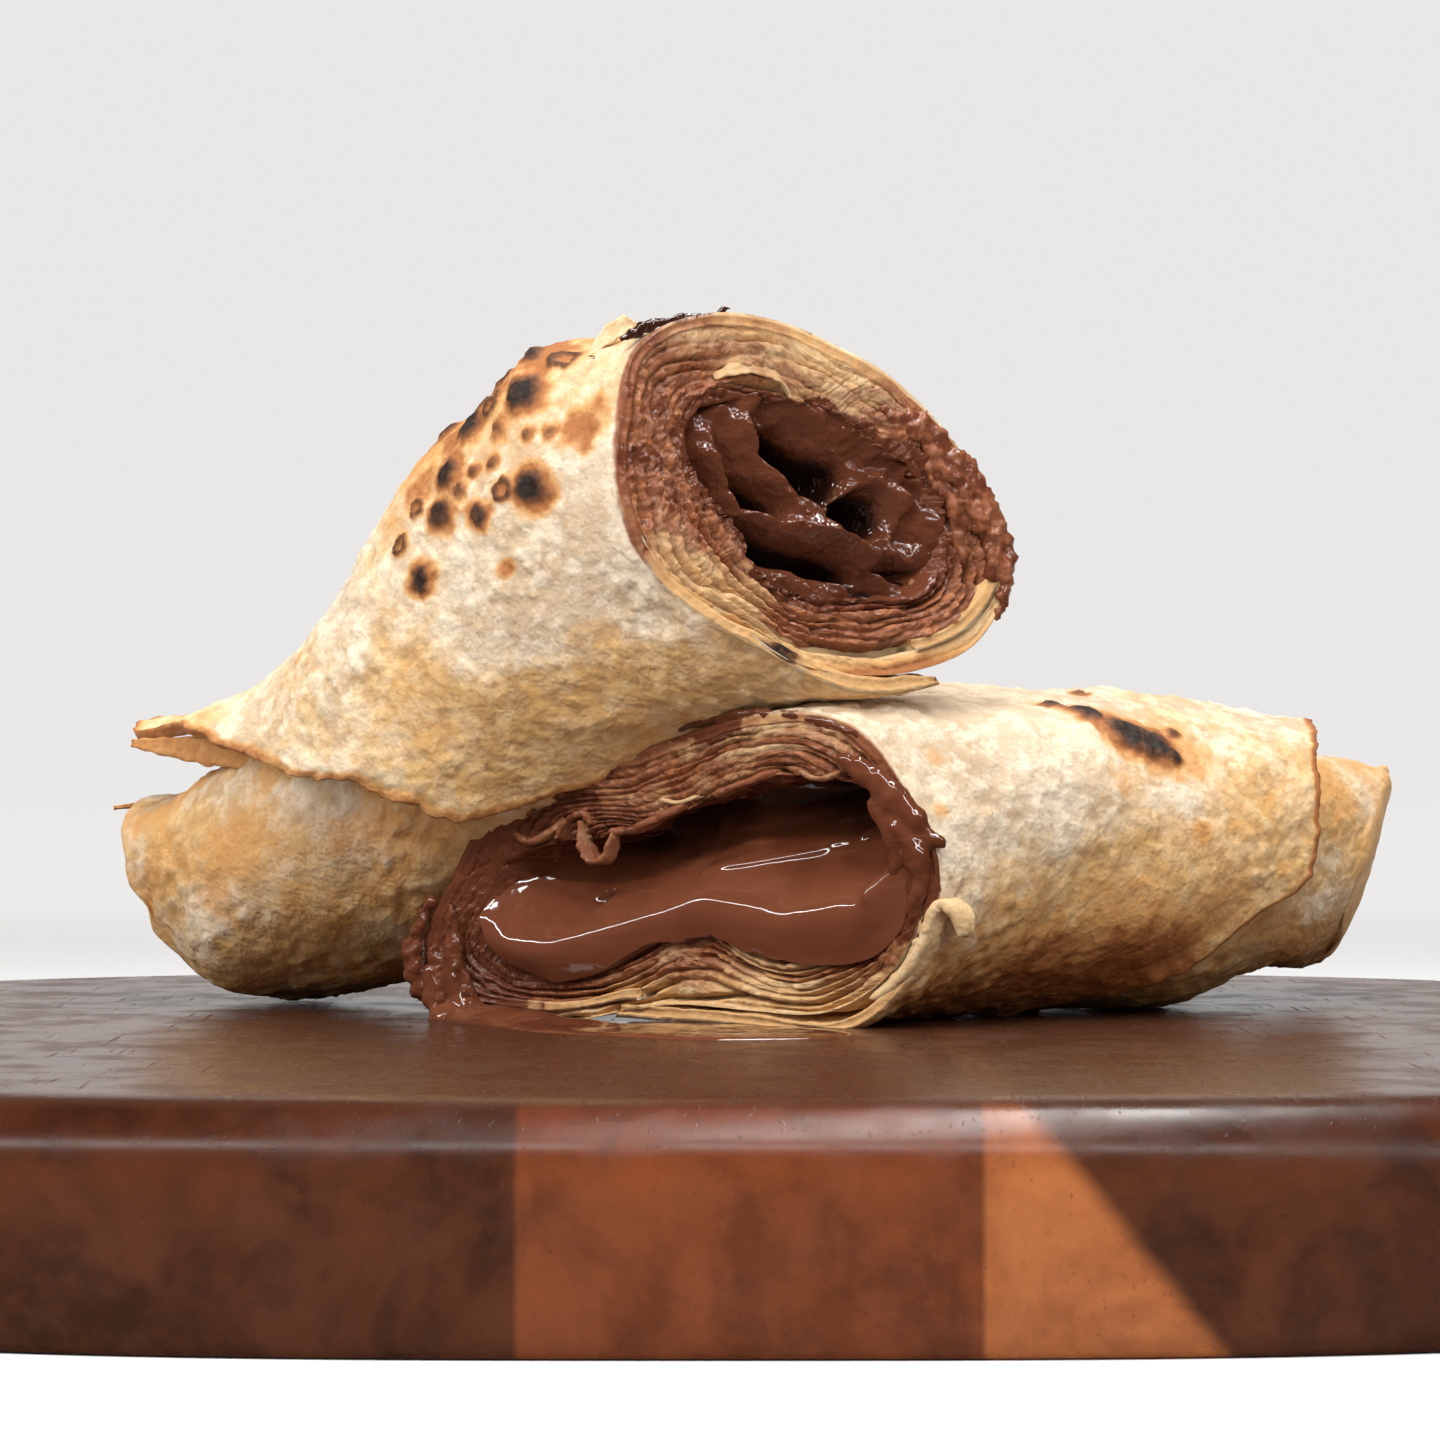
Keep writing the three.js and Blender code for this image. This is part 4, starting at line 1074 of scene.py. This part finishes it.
CHOCOLATE = (0.130, 0.038, 0.017)
CHOCOLATE_LIGHT = (0.180, 0.060, 0.029)
STAINED = (0.262, 0.066, 0.021)


def bread_finish():
    m = Finish("flatbread")
    # Pale and floury where it is puffed, grey-tan and darker in the creases as painted shade, yellow where it is thin
    # and oily and, toward the undersides, as painted warm shade.
    puff = m.field("puff")
    broad = m.ramp(m.noise(34, 2, 0.6), 0.40, 0.62)
    cloudy = m.ramp(m.noise(105, 3, 0.62), 0.42, 0.62)
    fine = m.noise(420, 3, 0.65)
    specks = m.ramp(m.noise(1000, 2, 0.6), 0.58, 0.72)
    colour = m.mix(broad, (0.74, 0.575, 0.395), (0.66, 0.455, 0.245))
    colour = m.mix(m.times(cloudy, 0.5), colour, (0.80, 0.665, 0.485))
    # The gold field is golden tone and, toward the undersides, painted warm shade; where it is low the bread is floury
    # and paler.
    gold = m.field("gold")
    golden = m.ramp(m.plus(gold, m.times(m.minus(fine, 0.5), 0.7)), 0.15, 0.85)
    colour = m.mix(m.times(golden, 0.9), colour, (0.67, 0.395, 0.150))
    oily = m.times(m.ramp(m.noise(62, 2, 0.55, distortion=1.2), 0.53, 0.64), 0.62)
    colour = m.mix(oily, colour, (0.63, 0.395, 0.135))
    # Painted shade: darker grey-tan where the skin dips between its blisters.
    crease_tone_and_shade = m.times(m.ramp(m.plus(puff, m.times(fine, 0.4)), 0.58, 0.28), 0.62)
    colour = m.mix(crease_tone_and_shade, colour, (0.47, 0.30, 0.165))
    floury = m.times(m.ramp(gold, 0.42, 0.04), 0.65)
    colour = m.mix(floury, colour, m.mix(cloudy, (0.62, 0.52, 0.405), (0.50, 0.405, 0.30)))
    pale = m.times(m.ramp(puff, 0.34, 0.78), m.lerp(golden, 0.62, 0.34))
    colour = m.mix(pale, colour, (0.77, 0.665, 0.50))
    # Mottled, with pale tops of fine bubbles and brown between them.
    crowd = m.ramp(m.noise(60, 2, 0.5), 0.44, 0.62)
    mottle = m.ramp(m.noise(230, 4, 0.66), 0.45, 0.58)
    colour = m.mix(m.times(mottle, m.lerp(golden, 0.46, 0.32)), colour, (0.77, 0.665, 0.51))
    between = m.times(m.minus(1.0, mottle), m.lerp(crowd, 0.16, 0.48))
    colour = m.mix(between, colour, (0.46, 0.305, 0.165))
    # A warm darkening where the gold field is high: golden tone, and painted shade on the undersides.
    colour = m.mix(m.ramp(gold, 0.35, 0.95), colour, (0.98, 0.91, 0.76), "MULTIPLY")
    colour = m.mix(m.times(m.ramp(fine, 0.54, 0.74), 0.40), colour, (0.52, 0.31, 0.13))
    colour = m.mix(m.times(specks, 0.34), colour, (0.40, 0.24, 0.11))
    # The layered edge of the cut: each layer a little different.
    inside, lamina, groove = m.field("inside"), m.field("lamina"), m.field("groove")
    leaves = m.noise(1, 3, 0.6, where=m.node("ShaderNodeAttribute", attribute_name="leaf").outputs["Vector"])
    streak = m.ramp(leaves, 0.36, 0.64)
    crumb = m.mix(lamina, (0.66, 0.48, 0.26), (0.52, 0.30, 0.12))
    crumb = m.mix(m.times(streak, 0.38), crumb, (0.44, 0.21, 0.080))
    crumb = m.mix(m.times(m.ramp(m.noise(600, 2, 0.6), 0.4, 0.7), 0.45), crumb, (0.74, 0.60, 0.38))
    colour = m.mix(inside, colour, crumb)
    # Toasted golden brown, with painted shade under the lower half carried in the same field, then char.
    toast = m.field("toast")
    uneven = m.lerp(0.55, toast, m.times(toast, m.times(fine, 2.0)))
    colour = m.mix(m.times(m.ramp(uneven, 0.02, 0.55), 0.85), colour, (0.60, 0.300, 0.095))
    colour = m.mix(m.times(m.ramp(uneven, 0.40, 0.95), 0.9), colour, (0.32, 0.105, 0.028))
    char = m.field("char")
    burnt = m.lerp(0.6, char, m.times(char, m.times(m.noise(800, 2, 0.65), 2.0)))
    colour = m.mix(m.ramp(burnt, 0.08, 0.55), colour, (0.13, 0.048, 0.018))
    colour = m.mix(m.ramp(burnt, 0.42, 1.0), colour, (0.020, 0.011, 0.008))
    # Chocolate: a dry stain, and wet where it runs.
    stain, wet = m.field("stain"), m.field("wet")
    blotch = m.noise(260, 3, 0.62)
    by_layer = m.times(m.times(m.minus(lamina, 0.5), 0.5), inside)
    patchy = m.plus(m.times(m.minus(blotch, 0.5), 1.0), by_layer)
    stained = m.ramp(m.plus(stain, patchy), 0.18, 0.78)
    tint = m.mix(m.ramp(m.noise(480, 2, 0.6), 0.35, 0.68), STAINED, (0.190, 0.048, 0.018))
    tint = m.mix(m.times(streak, m.times(inside, 0.55)), tint, (0.150, 0.041, 0.017))
    tint = m.mix(m.times(m.ramp(leaves, 0.50, 0.34), m.times(inside, 0.55)), tint,
                 (0.42, 0.145, 0.048))
    colour = m.mix(m.times(stained, 0.93), colour, tint)
    # Painted shade in the grooves, torn places and open gaps between the layers of the cut, stronger where they are
    # stained.
    groove_shade = m.times(m.ramp(groove, 0.25, 0.95), m.lerp(stained, 0.55, 0.95))
    colour = m.mix(groove_shade, colour, (0.085, 0.028, 0.013))
    runny = m.ramp(m.plus(wet, m.times(m.minus(blotch, 0.5), 1.8)), 0.42, 0.62)
    colour = m.mix(runny, colour, CHOCOLATE)
    damp = m.lerp(m.ramp(m.noise(650, 1, 0.5), 0.42, 0.62), 0.55, 0.26)
    rough = m.lerp(runny, m.lerp(stained, 0.72, damp), 0.15)
    grain = m.bump(m.noise(1300, 1, 0.6), 0.00020, 0.7)
    normal = m.bump(m.noise(380, 2, 0.6), 0.0007, 0.7, grain)
    normal = m.bump(m.times(leaves, inside), 0.0012, 0.6, normal)
    return m.finish(colour, rough, Normal=normal, Specular_IOR_Level=0.35)


def chocolate_finish():
    m = Finish("chocolate")
    slow = m.ramp(m.noise(70, 2, 0.5, distortion=1.2), 0.40, 0.65)
    streak = m.ramp(m.noise(130, 2, 0.5, stretch=(0.5, 0.5, 2.2), distortion=1.5), 0.50, 0.72)
    colour = m.mix(slow, CHOCOLATE, (0.098, 0.027, 0.0115))
    colour = m.mix(m.times(streak, 0.5), colour, CHOCOLATE_LIGHT)
    deep, stiff = m.field("deep"), m.field("stiff")
    colour = m.mix(m.times(stiff, 0.32), colour, (0.062, 0.019, 0.010))
    # Painted shade: the deep field darkens the chocolate towards near black in its holes and recesses.
    colour = m.mix(m.ramp(deep, 0.0, 1.0), colour, (0.012, 0.004, 0.0025))
    # Painted light: where the deep field is below zero, at the front of the lower pool, the chocolate is paler.
    colour = m.mix(m.times(m.ramp(deep, 0.0, -1.0), 0.5), colour, (0.172, 0.055, 0.027))
    rough = m.lerp(m.ramp(m.noise(240, 2, 0.6), 0.45, 0.7), 0.045, 0.10)
    normal = m.bump(m.noise(220, 2, 0.5), 0.0004, 0.3)
    normal = m.bump(m.times(m.noise(480, 2, 0.6), stiff), 0.0008, 0.8, normal)
    return m.finish(colour, rough, Normal=normal, Specular_IOR_Level=0.58)


def wood_finish():
    m = Finish("glued_wood")
    x, _, z = m.split()
    fibre = m.noise(60, 4, 0.62, stretch=(1.0, 0.10, 1.0), distortion=0.5)
    pore = m.ramp(m.noise(1500, 2, 0.6, stretch=(1.0, 0.05, 1.0)), 0.62, 0.74)
    figure = m.ramp(m.noise(28, 3, 0.6), 0.36, 0.66)
    small = m.ramp(m.noise(300, 3, 0.65), 0.40, 0.68)

    def tone(light, dark):
        base = m.mix(m.ramp(fibre, 0.36, 0.66), light, dark)
        base = m.mix(m.times(figure, 0.5), base, dark)
        return m.mix(m.times(small, 0.35), base, light)

    walnut = tone((0.088, 0.026, 0.0105), (0.036, 0.012, 0.006))
    cherry = tone((0.190, 0.050, 0.016), (0.095, 0.025, 0.009))
    maple = tone((0.38, 0.125, 0.038), (0.24, 0.072, 0.023))

    def side_of(value, at, soft=0.0006):
        return m.ramp(value, at - soft, at + soft)

    # Strips run from front to back. One light strip is sawn on a slant.
    slant = m.minus(x, m.times(m.minus(0.030, z), 0.80))
    colour = m.mix(side_of(x, -0.0239), walnut, cherry)
    colour = m.mix(side_of(x, 0.0309), colour, maple)
    colour = m.mix(side_of(slant, 0.0355, 0.0022), colour, walnut)
    colour = m.mix(side_of(x, 0.112), colour, cherry)
    colour = m.mix(side_of(x, -0.118), m.mix(side_of(x, -0.119), cherry, walnut), colour)
    # Painted shade: the rounded top edge is darkened, standing in for the dark reflection it shows.
    brow = m.times(m.ramp(z, 0.0205, 0.0265), 0.8)
    colour = m.mix(brow, colour, (0.60, 0.44, 0.32), "MULTIPLY")
    # The top is darkened by oil and use.
    top = m.ramp(z, 0.0285, 0.0300)
    oiled = m.mix(fibre, (0.036, 0.013, 0.007), (0.078, 0.028, 0.013))
    colour = m.mix(m.times(top, 0.90), colour, oiled)
    colour = m.mix(m.times(pore, 0.35), colour, (0.024, 0.010, 0.006))
    scratch = m.times(m.ramp(m.noise(900, 3, 0.6, stretch=(1.0, 0.045, 1.0)), 0.60, 0.72), top)
    rough = m.lerp(m.ramp(m.noise(90, 2, 0.6), 0.4, 0.7), 0.24, 0.36)
    rough = m.lerp(m.times(scratch, 0.5), rough, 0.6)
    normal = m.bump(m.plus(scratch, m.times(pore, 0.3)), 0.00012, 0.35)
    normal = m.bump(m.times(m.noise(700, 2, 0.7), top), 0.00016, 0.35, normal)
    normal = m.bump(m.noise(40, 2, 0.5), 0.0004, 0.06, normal)
    return m.finish(colour, rough, Normal=normal, Specular_IOR_Level=0.20)


def plain_finish():
    """A pale floor. Far out, where no light falls, it glows as pale as the studio behind it."""
    m = Finish("studio_floor")
    x, y, _ = m.split()
    apart = m.maths("SQRT", m.plus(m.times(x, x), m.times(y, y)))
    far = m.ramp(apart, 0.45, 1.25)
    cloudy = m.mix(m.ramp(m.noise(3, 2, 0.5), 0.3, 0.7), (0.88, 0.875, 0.875), (0.87, 0.865, 0.865))
    return m.finish(m.mix(far, cloudy, (0.02, 0.02, 0.02)), 0.9, Emission_Strength=1,
                    Emission_Color=m.mix(far, (0, 0, 0), (0.80, 0.785, 0.775)))


# ---- Assembly ---------------------------------------------------------------------------------
bread, chocolate, wood = bread_finish(), chocolate_finish(), wood_finish()

for half, kind in ((LOWER, "lower"), (UPPER, "upper")):
    for make, name in ((roll_of, "_roll"), (cut_layers_of, "_cut_layers"), (turn_of, "_outer_turn")):
        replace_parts(make(half, kind, kind + name, bread), kind + "_chapati")
    filling = chocolate_of(half, kind, kind + "_filling", chocolate)
    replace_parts(filling, kind + "_chocolate")

board = board_piece(wood)
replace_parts(board, "board")

BREAD = {"puff": 0.5, "gold": 0.5, "inside": 1, "lamina": 0.3}
SOAKED = {"stain": 1, "inside": 1, "lamina": 0.5, "puff": 0.4}

# Torn crags along the right edge of the upper cut, and the point that sticks out.
cut_crags("upper_crags", UPPER, bread, (
    (((15.5, 14), (20, 9.6), (23.8, 5.4), (27.4, 0.4), (30.6, -5.2), (31.6, -7.8)),
     (0.9, 1.2, 1.3, 1.5, 1.5, 0.9), 301, 0.8),
    (((12, 13.2), (17.6, 9.2), (21.4, 4.4), (25.4, -1.6), (28, -6.6), (27.6, -11.5)),
     (0.8, 1, 1.3, 1.6, 1.6, 1.2), 302, 0.2),
    (((30.8, -8.6), (30.2, -11.6), (29.8, -14.4), (28.6, -17.2)), (1.3, 1.2, 1.1, 0.8), 303, 0.6),
    (((18.6, 4.6), (21.6, 0.6), (23.2, -4.4), (23.8, -9)), (0.8, 1, 1.1, 0.8), 304, 0.8),
), rough=0.75, grain=1.7, fields=dict(SOAKED, wet=0.5))

# The smeared, broken foot of the lower half.
cut_crags("lower_foot", LOWER, bread, (
    (((-41.4, -5), (-43.4, -10), (-43.8, -15.4), (-41, -18.6)), (0.8, 1.3, 1.7, 1.4), 341, 0.4),
    (((-37.4, -6), (-37, -11), (-36.4, -16), (-33.6, -20.4)), (0.9, 1.4, 1.7, 1.7), 342, -0.1),
    (((-40.2, -13), (-39.4, -17.4), (-36.8, -21)), (1.2, 1.8, 2), 343, 0.2),
), rough=0.7, grain=1.8, fields=dict(SOAKED, wet=0.75))
cut_crags("foot_chocolate", LOWER, chocolate, (
    (((-36.6, -12.6), (-36.4, -16.6), (-35.2, -20), (-33, -22.6)), (0.9, 1.5, 2, 2.2), 351, -0.9, 0.4, 0.7),
    (((-40.2, -15.6), (-39.6, -19.2), (-37.4, -22.6)), (1, 1.6, 2), 352, -0.9, 0.4, 0.7),
    (((-37.4, -22.6), (-31.5, -23.4), (-26, -24), (-20, -24.4)), (2, 1.9, 1.4, 0.8), 353, -2.2, 0.5, 0.7),
), 0.1, voxel=0.5, rough=0.25, grain=2.6, fields={"deep": 0})

# Chocolate that flows over the right rim of the lower cut.
cut_crags("lower_spill", LOWER, chocolate, (
    (((23.5, 17), (29, 13.6), (33.8, 9.4), (37.4, 5.6), (39.4, 4.6)), (0.8, 1.5, 1.8, 1.6, 0.9), 381, 0.4, 0.3, 0.7),
    (((32, 7.8), (35.4, 3), (36.6, -1), (34.8, -5)), (1.4, 1.9, 1.5, 0.9), 382, 0.2, 0.3, 0.7),
    (((29, 9.8), (31.8, 4.6), (32.4, 0)), (1.2, 1.4, 0.9), 383, 0.6, 0.3, 0.7),
), 0.1, voxel=0.5, rough=0.3, grain=2.4, fields={"deep": 0})

# A smear of it along the top of the lower cut.
cut_crags("lower_smear", LOWER, chocolate, (
    (((-7, 20), (2.4, 22.3), (9, 23.3), (16, 23.2), (22.6, 21.8), (27.5, 19.4)),
     (0.4, 0.9, 1, 0.9, 1.1, 0.7), 391, 0.9, 0.5, 0.7),
    (((1.5, 22.2), (6, 23), (11, 23.4)), (0.5, 0.8, 0.4), 392, 2.4, 0.5, 0.7),
), 0.15, 0.8, voxel=0.4, rough=0.3, grain=1.8, fields={"deep": 0.15})

# The puddle on the board.
film("puddle", (-20, -8.5), (24, 17, 9, 8, 9, 13, 22, 27, 27, 20, 14, 12, 12, 13, 15, 18, 24, 36, 44, 40), 0.45,
     chocolate, bumps=((-38, 3, 5.5, 2.6), (-33, -4, 5, 2.2), (-27, -8, 4.5, 1.5), (-20, -12, 4, 0.8),
                       (-41, -1, 4, 1.2)))

# Torn folds under the roof of the lower cut: path, widths, stain, thickness.
folds = (
    (((-28, 5.4), (-25.8, 4.2), (-22.4, 5.6), (-20, 7.8)), (0.7, 1.3, 1.2, 0.7), 0.62, 1.1),
    (((-21.4, 4.7), (-19.6, 7.4), (-17, 8.6), (-15.8, 6.8)), (0.8, 1.2, 1.2, 0.8), 0.8, 1),
    (((-17.4, 7.4), (-17, 4), (-15.2, 1.4), (-13.2, 2.4), (-12.2, 6.4)), (0.8, 1.5, 1.8, 1.4, 0.7), 0.6, 0.9),
    (((-12.8, 5.8), (-9, 6.2), (-5.5, 7.8), (-1, 9.8)), (0.7, 1.2, 1.3, 0.8), 0.85, 1.2),
    (((-4.8, 10.7), (-2, 10.2), (1.6, 11.4)), (0.5, 0.9, 0.5), 0, 0.6),
    (((3.5, 11.4), (8.5, 13.2), (13.5, 15)), (0.6, 1, 0.7), 0.85, 1),
    (((17, 14.8), (20, 13.8), (23.4, 15)), (0.5, 1, 0.5), 0.62, 0.8),
)
for number, (path, widths, stain, thick) in enumerate(folds):
    cut_ribbon("roof_fold_%d" % number, LOWER, path, widths, 1.4, thick, seed=400 + number,
               fields=dict(BREAD, stain=stain * 1.2, wet=stain * 0.5, lamina=0.5))

# A further layer in the gap under the lip of the upper cut, toasted dark brown; its darkness is partly painted shade of
# that gap.
cut_ribbon("under_lip", UPPER, ((-6, -24.6), (0, -26), (7, -27), (13, -27.2), (17.5, -26.4)), (3.5, 4, 4, 3.6, 2.4),
           4.5, 1.8, seed=431, rag=0.2, fields=dict(BREAD, stain=0.35, toast=1, lamina=0.6))

# A pale layer torn away at the top of the upper cut: path, widths, stain, depth.
hang = 0.9 * UPPER["skin"][0]["e2"] + 0.45 * UPPER["axis"]
tears = ((((-17.6, 13.6), (-15.4, 16.4), (-12.2, 17.8), (-8.6, 18.4)), (0.4, 1, 1.3, 0.7), 0.8, 1.4),
         (((-14.4, 17.4), (-11, 18.6), (-7.4, 18.8), (-4.2, 17.2), (-2.6, 14.8)), (0.4, 1, 1.4, 1.1, 0.4), 0.42, 0.7))
for number, (path, widths, stain, depth) in enumerate(tears):
    ribbon("upper_tear_%d" % number, [on_cut(UPPER, u, v, depth) for u, v in path], widths, hang, 0.6,
           seed=470 + number, rag=0.5, curl=0.35, fields=dict(BREAD, stain=stain, lamina=0.5))

# Layers of the lower half that peel away and curl at the right of the cut: path, widths, depth, thickness, stain.
curls = (
    (((28.6, -18.2), (33.4, -14.6), (36.6, -10), (38, -6), (39.6, -4.4), (41.6, -5.8), (42.2, -9)),
     (1.2, 1.8, 2, 2.2, 2.2, 1.9, 1.1), 1.2, 1.9, 0.12),
    (((30.4, -16.4), (34, -12.6), (35.8, -9), (36.2, -6)), (1.4, 1.8, 1.8, 1.2), 1.7, 1.1, 0.45),
)
for number, (path, widths, depth, thick, stain) in enumerate(curls):
    cut_ribbon("peeled_curl_%d" % number, LOWER, path, widths, depth, thick, seed=420 + number, rag=0.25,
               fields=dict(BREAD, stain=stain, gold=0.4))

# A flake and a slit on top of the upper half, by degrees, distance along it and height over it.
over = {name: [loft(UPPER["skin"], a * DEG, t) + up for a, t, up in rows] for name, rows in (
    ("flake", ((133, 0.112, (0, 0, 0)), (130, 0.098, (0, -0.39, 1.3)), (128, 0.084, (0, -0.51, 1.7)),
               (128, 0.068, (0, -0.27, 0.9)), (130, 0.055, (0, 0.06, -0.2)))),
    ("slit", ((136, 0.118, (0, 0, 0.15)), (138, 0.095, (0, 0, 0.15)), (140, 0.078, (0, 0, 0.15)))))}
ribbon("flake", over["flake"], (0.5, 1.4, 1.6, 1.2, 0.4), (-0.2, 0.45, 0.87), 0.8, seed=440, rag=0.4, curl=0.5,
       fields={"puff": 0.5, "gold": 0.5, "toast": 0.12})
# A second, browner layer under the flap at the far end, and a bit of dry dough on the pressed end.
ribbon("under_flap", ((-93.5, 48, 71.2), (-87, 42, 70.6), (-80, 35, 70), (-72, 28, 69.2), (-64, 22, 67.6)),
       (0.6, 1.6, 2.1, 1.9, 1), (0.15, 0.15, 0.97), 1.5, seed=451, rag=0.35, curl=0.2,
       fields={"puff": 0.1, "gold": 1, "toast": 0.66, "stain": 0.22})
ribbon("dry_bit", ((-98.5, 64, 60.6), (-96, 63, 60.9), (-92, 61, 61)), (0.35, 0.4, 0.5), (0, 0, 1), 0.8, seed=452,
       fields={"puff": 0.3, "gold": 1, "toast": 0.7})
ribbon("slit", over["slit"], (0.3, 0.6, 0.3), (0.2, 0.6, 0.7), 0.3, seed=441, fields={"char": 0.7, "toast": 1})
cut_crags("edge_chocolate", UPPER, chocolate, (
    (((-28, 22.8), (-25.6, 24.2), (-22, 25.4), (-18, 26.1), (-13.5, 26.4)),
     (0.4, 0.7, 0.5, 0.6, 0.3), 461, 1, 0.5, 0.7),
    (((-12.8, 26.6), (-12.2, 27.5), (-10.8, 27.9)), (0.5, 0.4, 0.25), 463, 1.2, 0.2, 0.5),
), 0.5, voxel=0.3, rough=0.4, grain=1.2, fields={"deep": 0.7})


# ---- Camera, light and floor ------------------------------------------------------------------
scene = bpy.context.scene
camera = bpy.data.objects.new("camera", bpy.data.cameras.new("camera"))
scene.collection.objects.link(camera)
camera.location = (0, -0.675, 0.0749)
camera.rotation_euler = (math.pi / 2, 0, 0)
camera.data.lens = 113.65
camera.data.sensor_width = 36
camera.data.clip_start = 0.01
scene.camera = camera


def softbox(name, place, target, size, power, colour=(1, 1, 1)):
    light = bpy.data.lights.new(name, "AREA")
    light.shape = "RECTANGLE"
    light.size, light.size_y = size
    light.energy = power
    light.color = colour
    obj = bpy.data.objects.new(name, light)
    scene.collection.objects.link(obj)
    obj.location = place
    way = Vector(target) - Vector(place)
    obj.rotation_euler = way.to_track_quat("-Z", "Y").to_euler()
    return obj


softbox("key_strip", (0.12, -0.02, 0.95), (0, 0, 0.05), (1.1, 0.14), 11.5, (1, 0.99, 0.97))
softbox("spark", (-0.10, -0.58, 0.72), (0, 0, 0.07), (2.0, 0.05), 9)
for fill in (softbox("left_fill", (-1.2, -0.45, 0.55), (0, 0, 0.07), (0.9, 0.9), 9.5),
             softbox("right_fill", (1.1, -0.9, 0.6), (0, 0, 0.07), (0.6, 0.6), 2.5)):
    fill.visible_glossy = False

# A floor in front, and one behind that curves up into a backdrop.
bends = [a * math.pi / 24 for a in range(1, 13)]
curve = [(2.1 + 0.9 * math.sin(a), 0.9 - 0.9 * math.cos(a)) for a in bends]
paint = plain_finish()
for name, line in (("floor", [(-3.0, 0.0), (0.16, 0.0)]), ("backdrop", [(0.16, 0), (2.1, 0), *curve, (3.0, 1.3)])):
    mesh = bpy.data.meshes.new(name)
    mesh.from_pydata([(x, y, z) for y, z in line for x in (-3.2, 3.2)], [],
                     grid_quads(len(line), 2, False)[:, ::-1].tolist())
    mesh.polygons.foreach_set("use_smooth", np.ones(len(mesh.polygons), bool))
    mesh.materials.append(paint)
    floor = bpy.data.objects.new(name, mesh)
    scene.collection.objects.link(floor)
    floor.visible_glossy = name == "backdrop"

world = bpy.data.worlds.new("world")
scene.world = world
world.use_nodes = True
sky = world.node_tree.nodes["Background"]
sky.inputs[0].default_value = (1.0, 0.985, 0.965, 1)
# Seen directly the studio is pale. As light it is dim, and in reflections nearly dark.
rays = world.node_tree.nodes.new("ShaderNodeLightPath").outputs
level = None
for ray, strength in (("Is Diffuse Ray", 0.18), ("Is Glossy Ray", 0.05), ("Is Camera Ray", 0.80)):
    part = world.node_tree.nodes.new("ShaderNodeMath")
    part.operation = "MULTIPLY_ADD"
    world.node_tree.links.new(rays[ray], part.inputs[0])
    part.inputs[1].default_value = strength
    if level is None:
        part.inputs[2].default_value = 0
    else:
        world.node_tree.links.new(level, part.inputs[2])
    level = part.outputs[0]
world.node_tree.links.new(level, sky.inputs[1])
scene.view_settings.view_transform = "Standard"
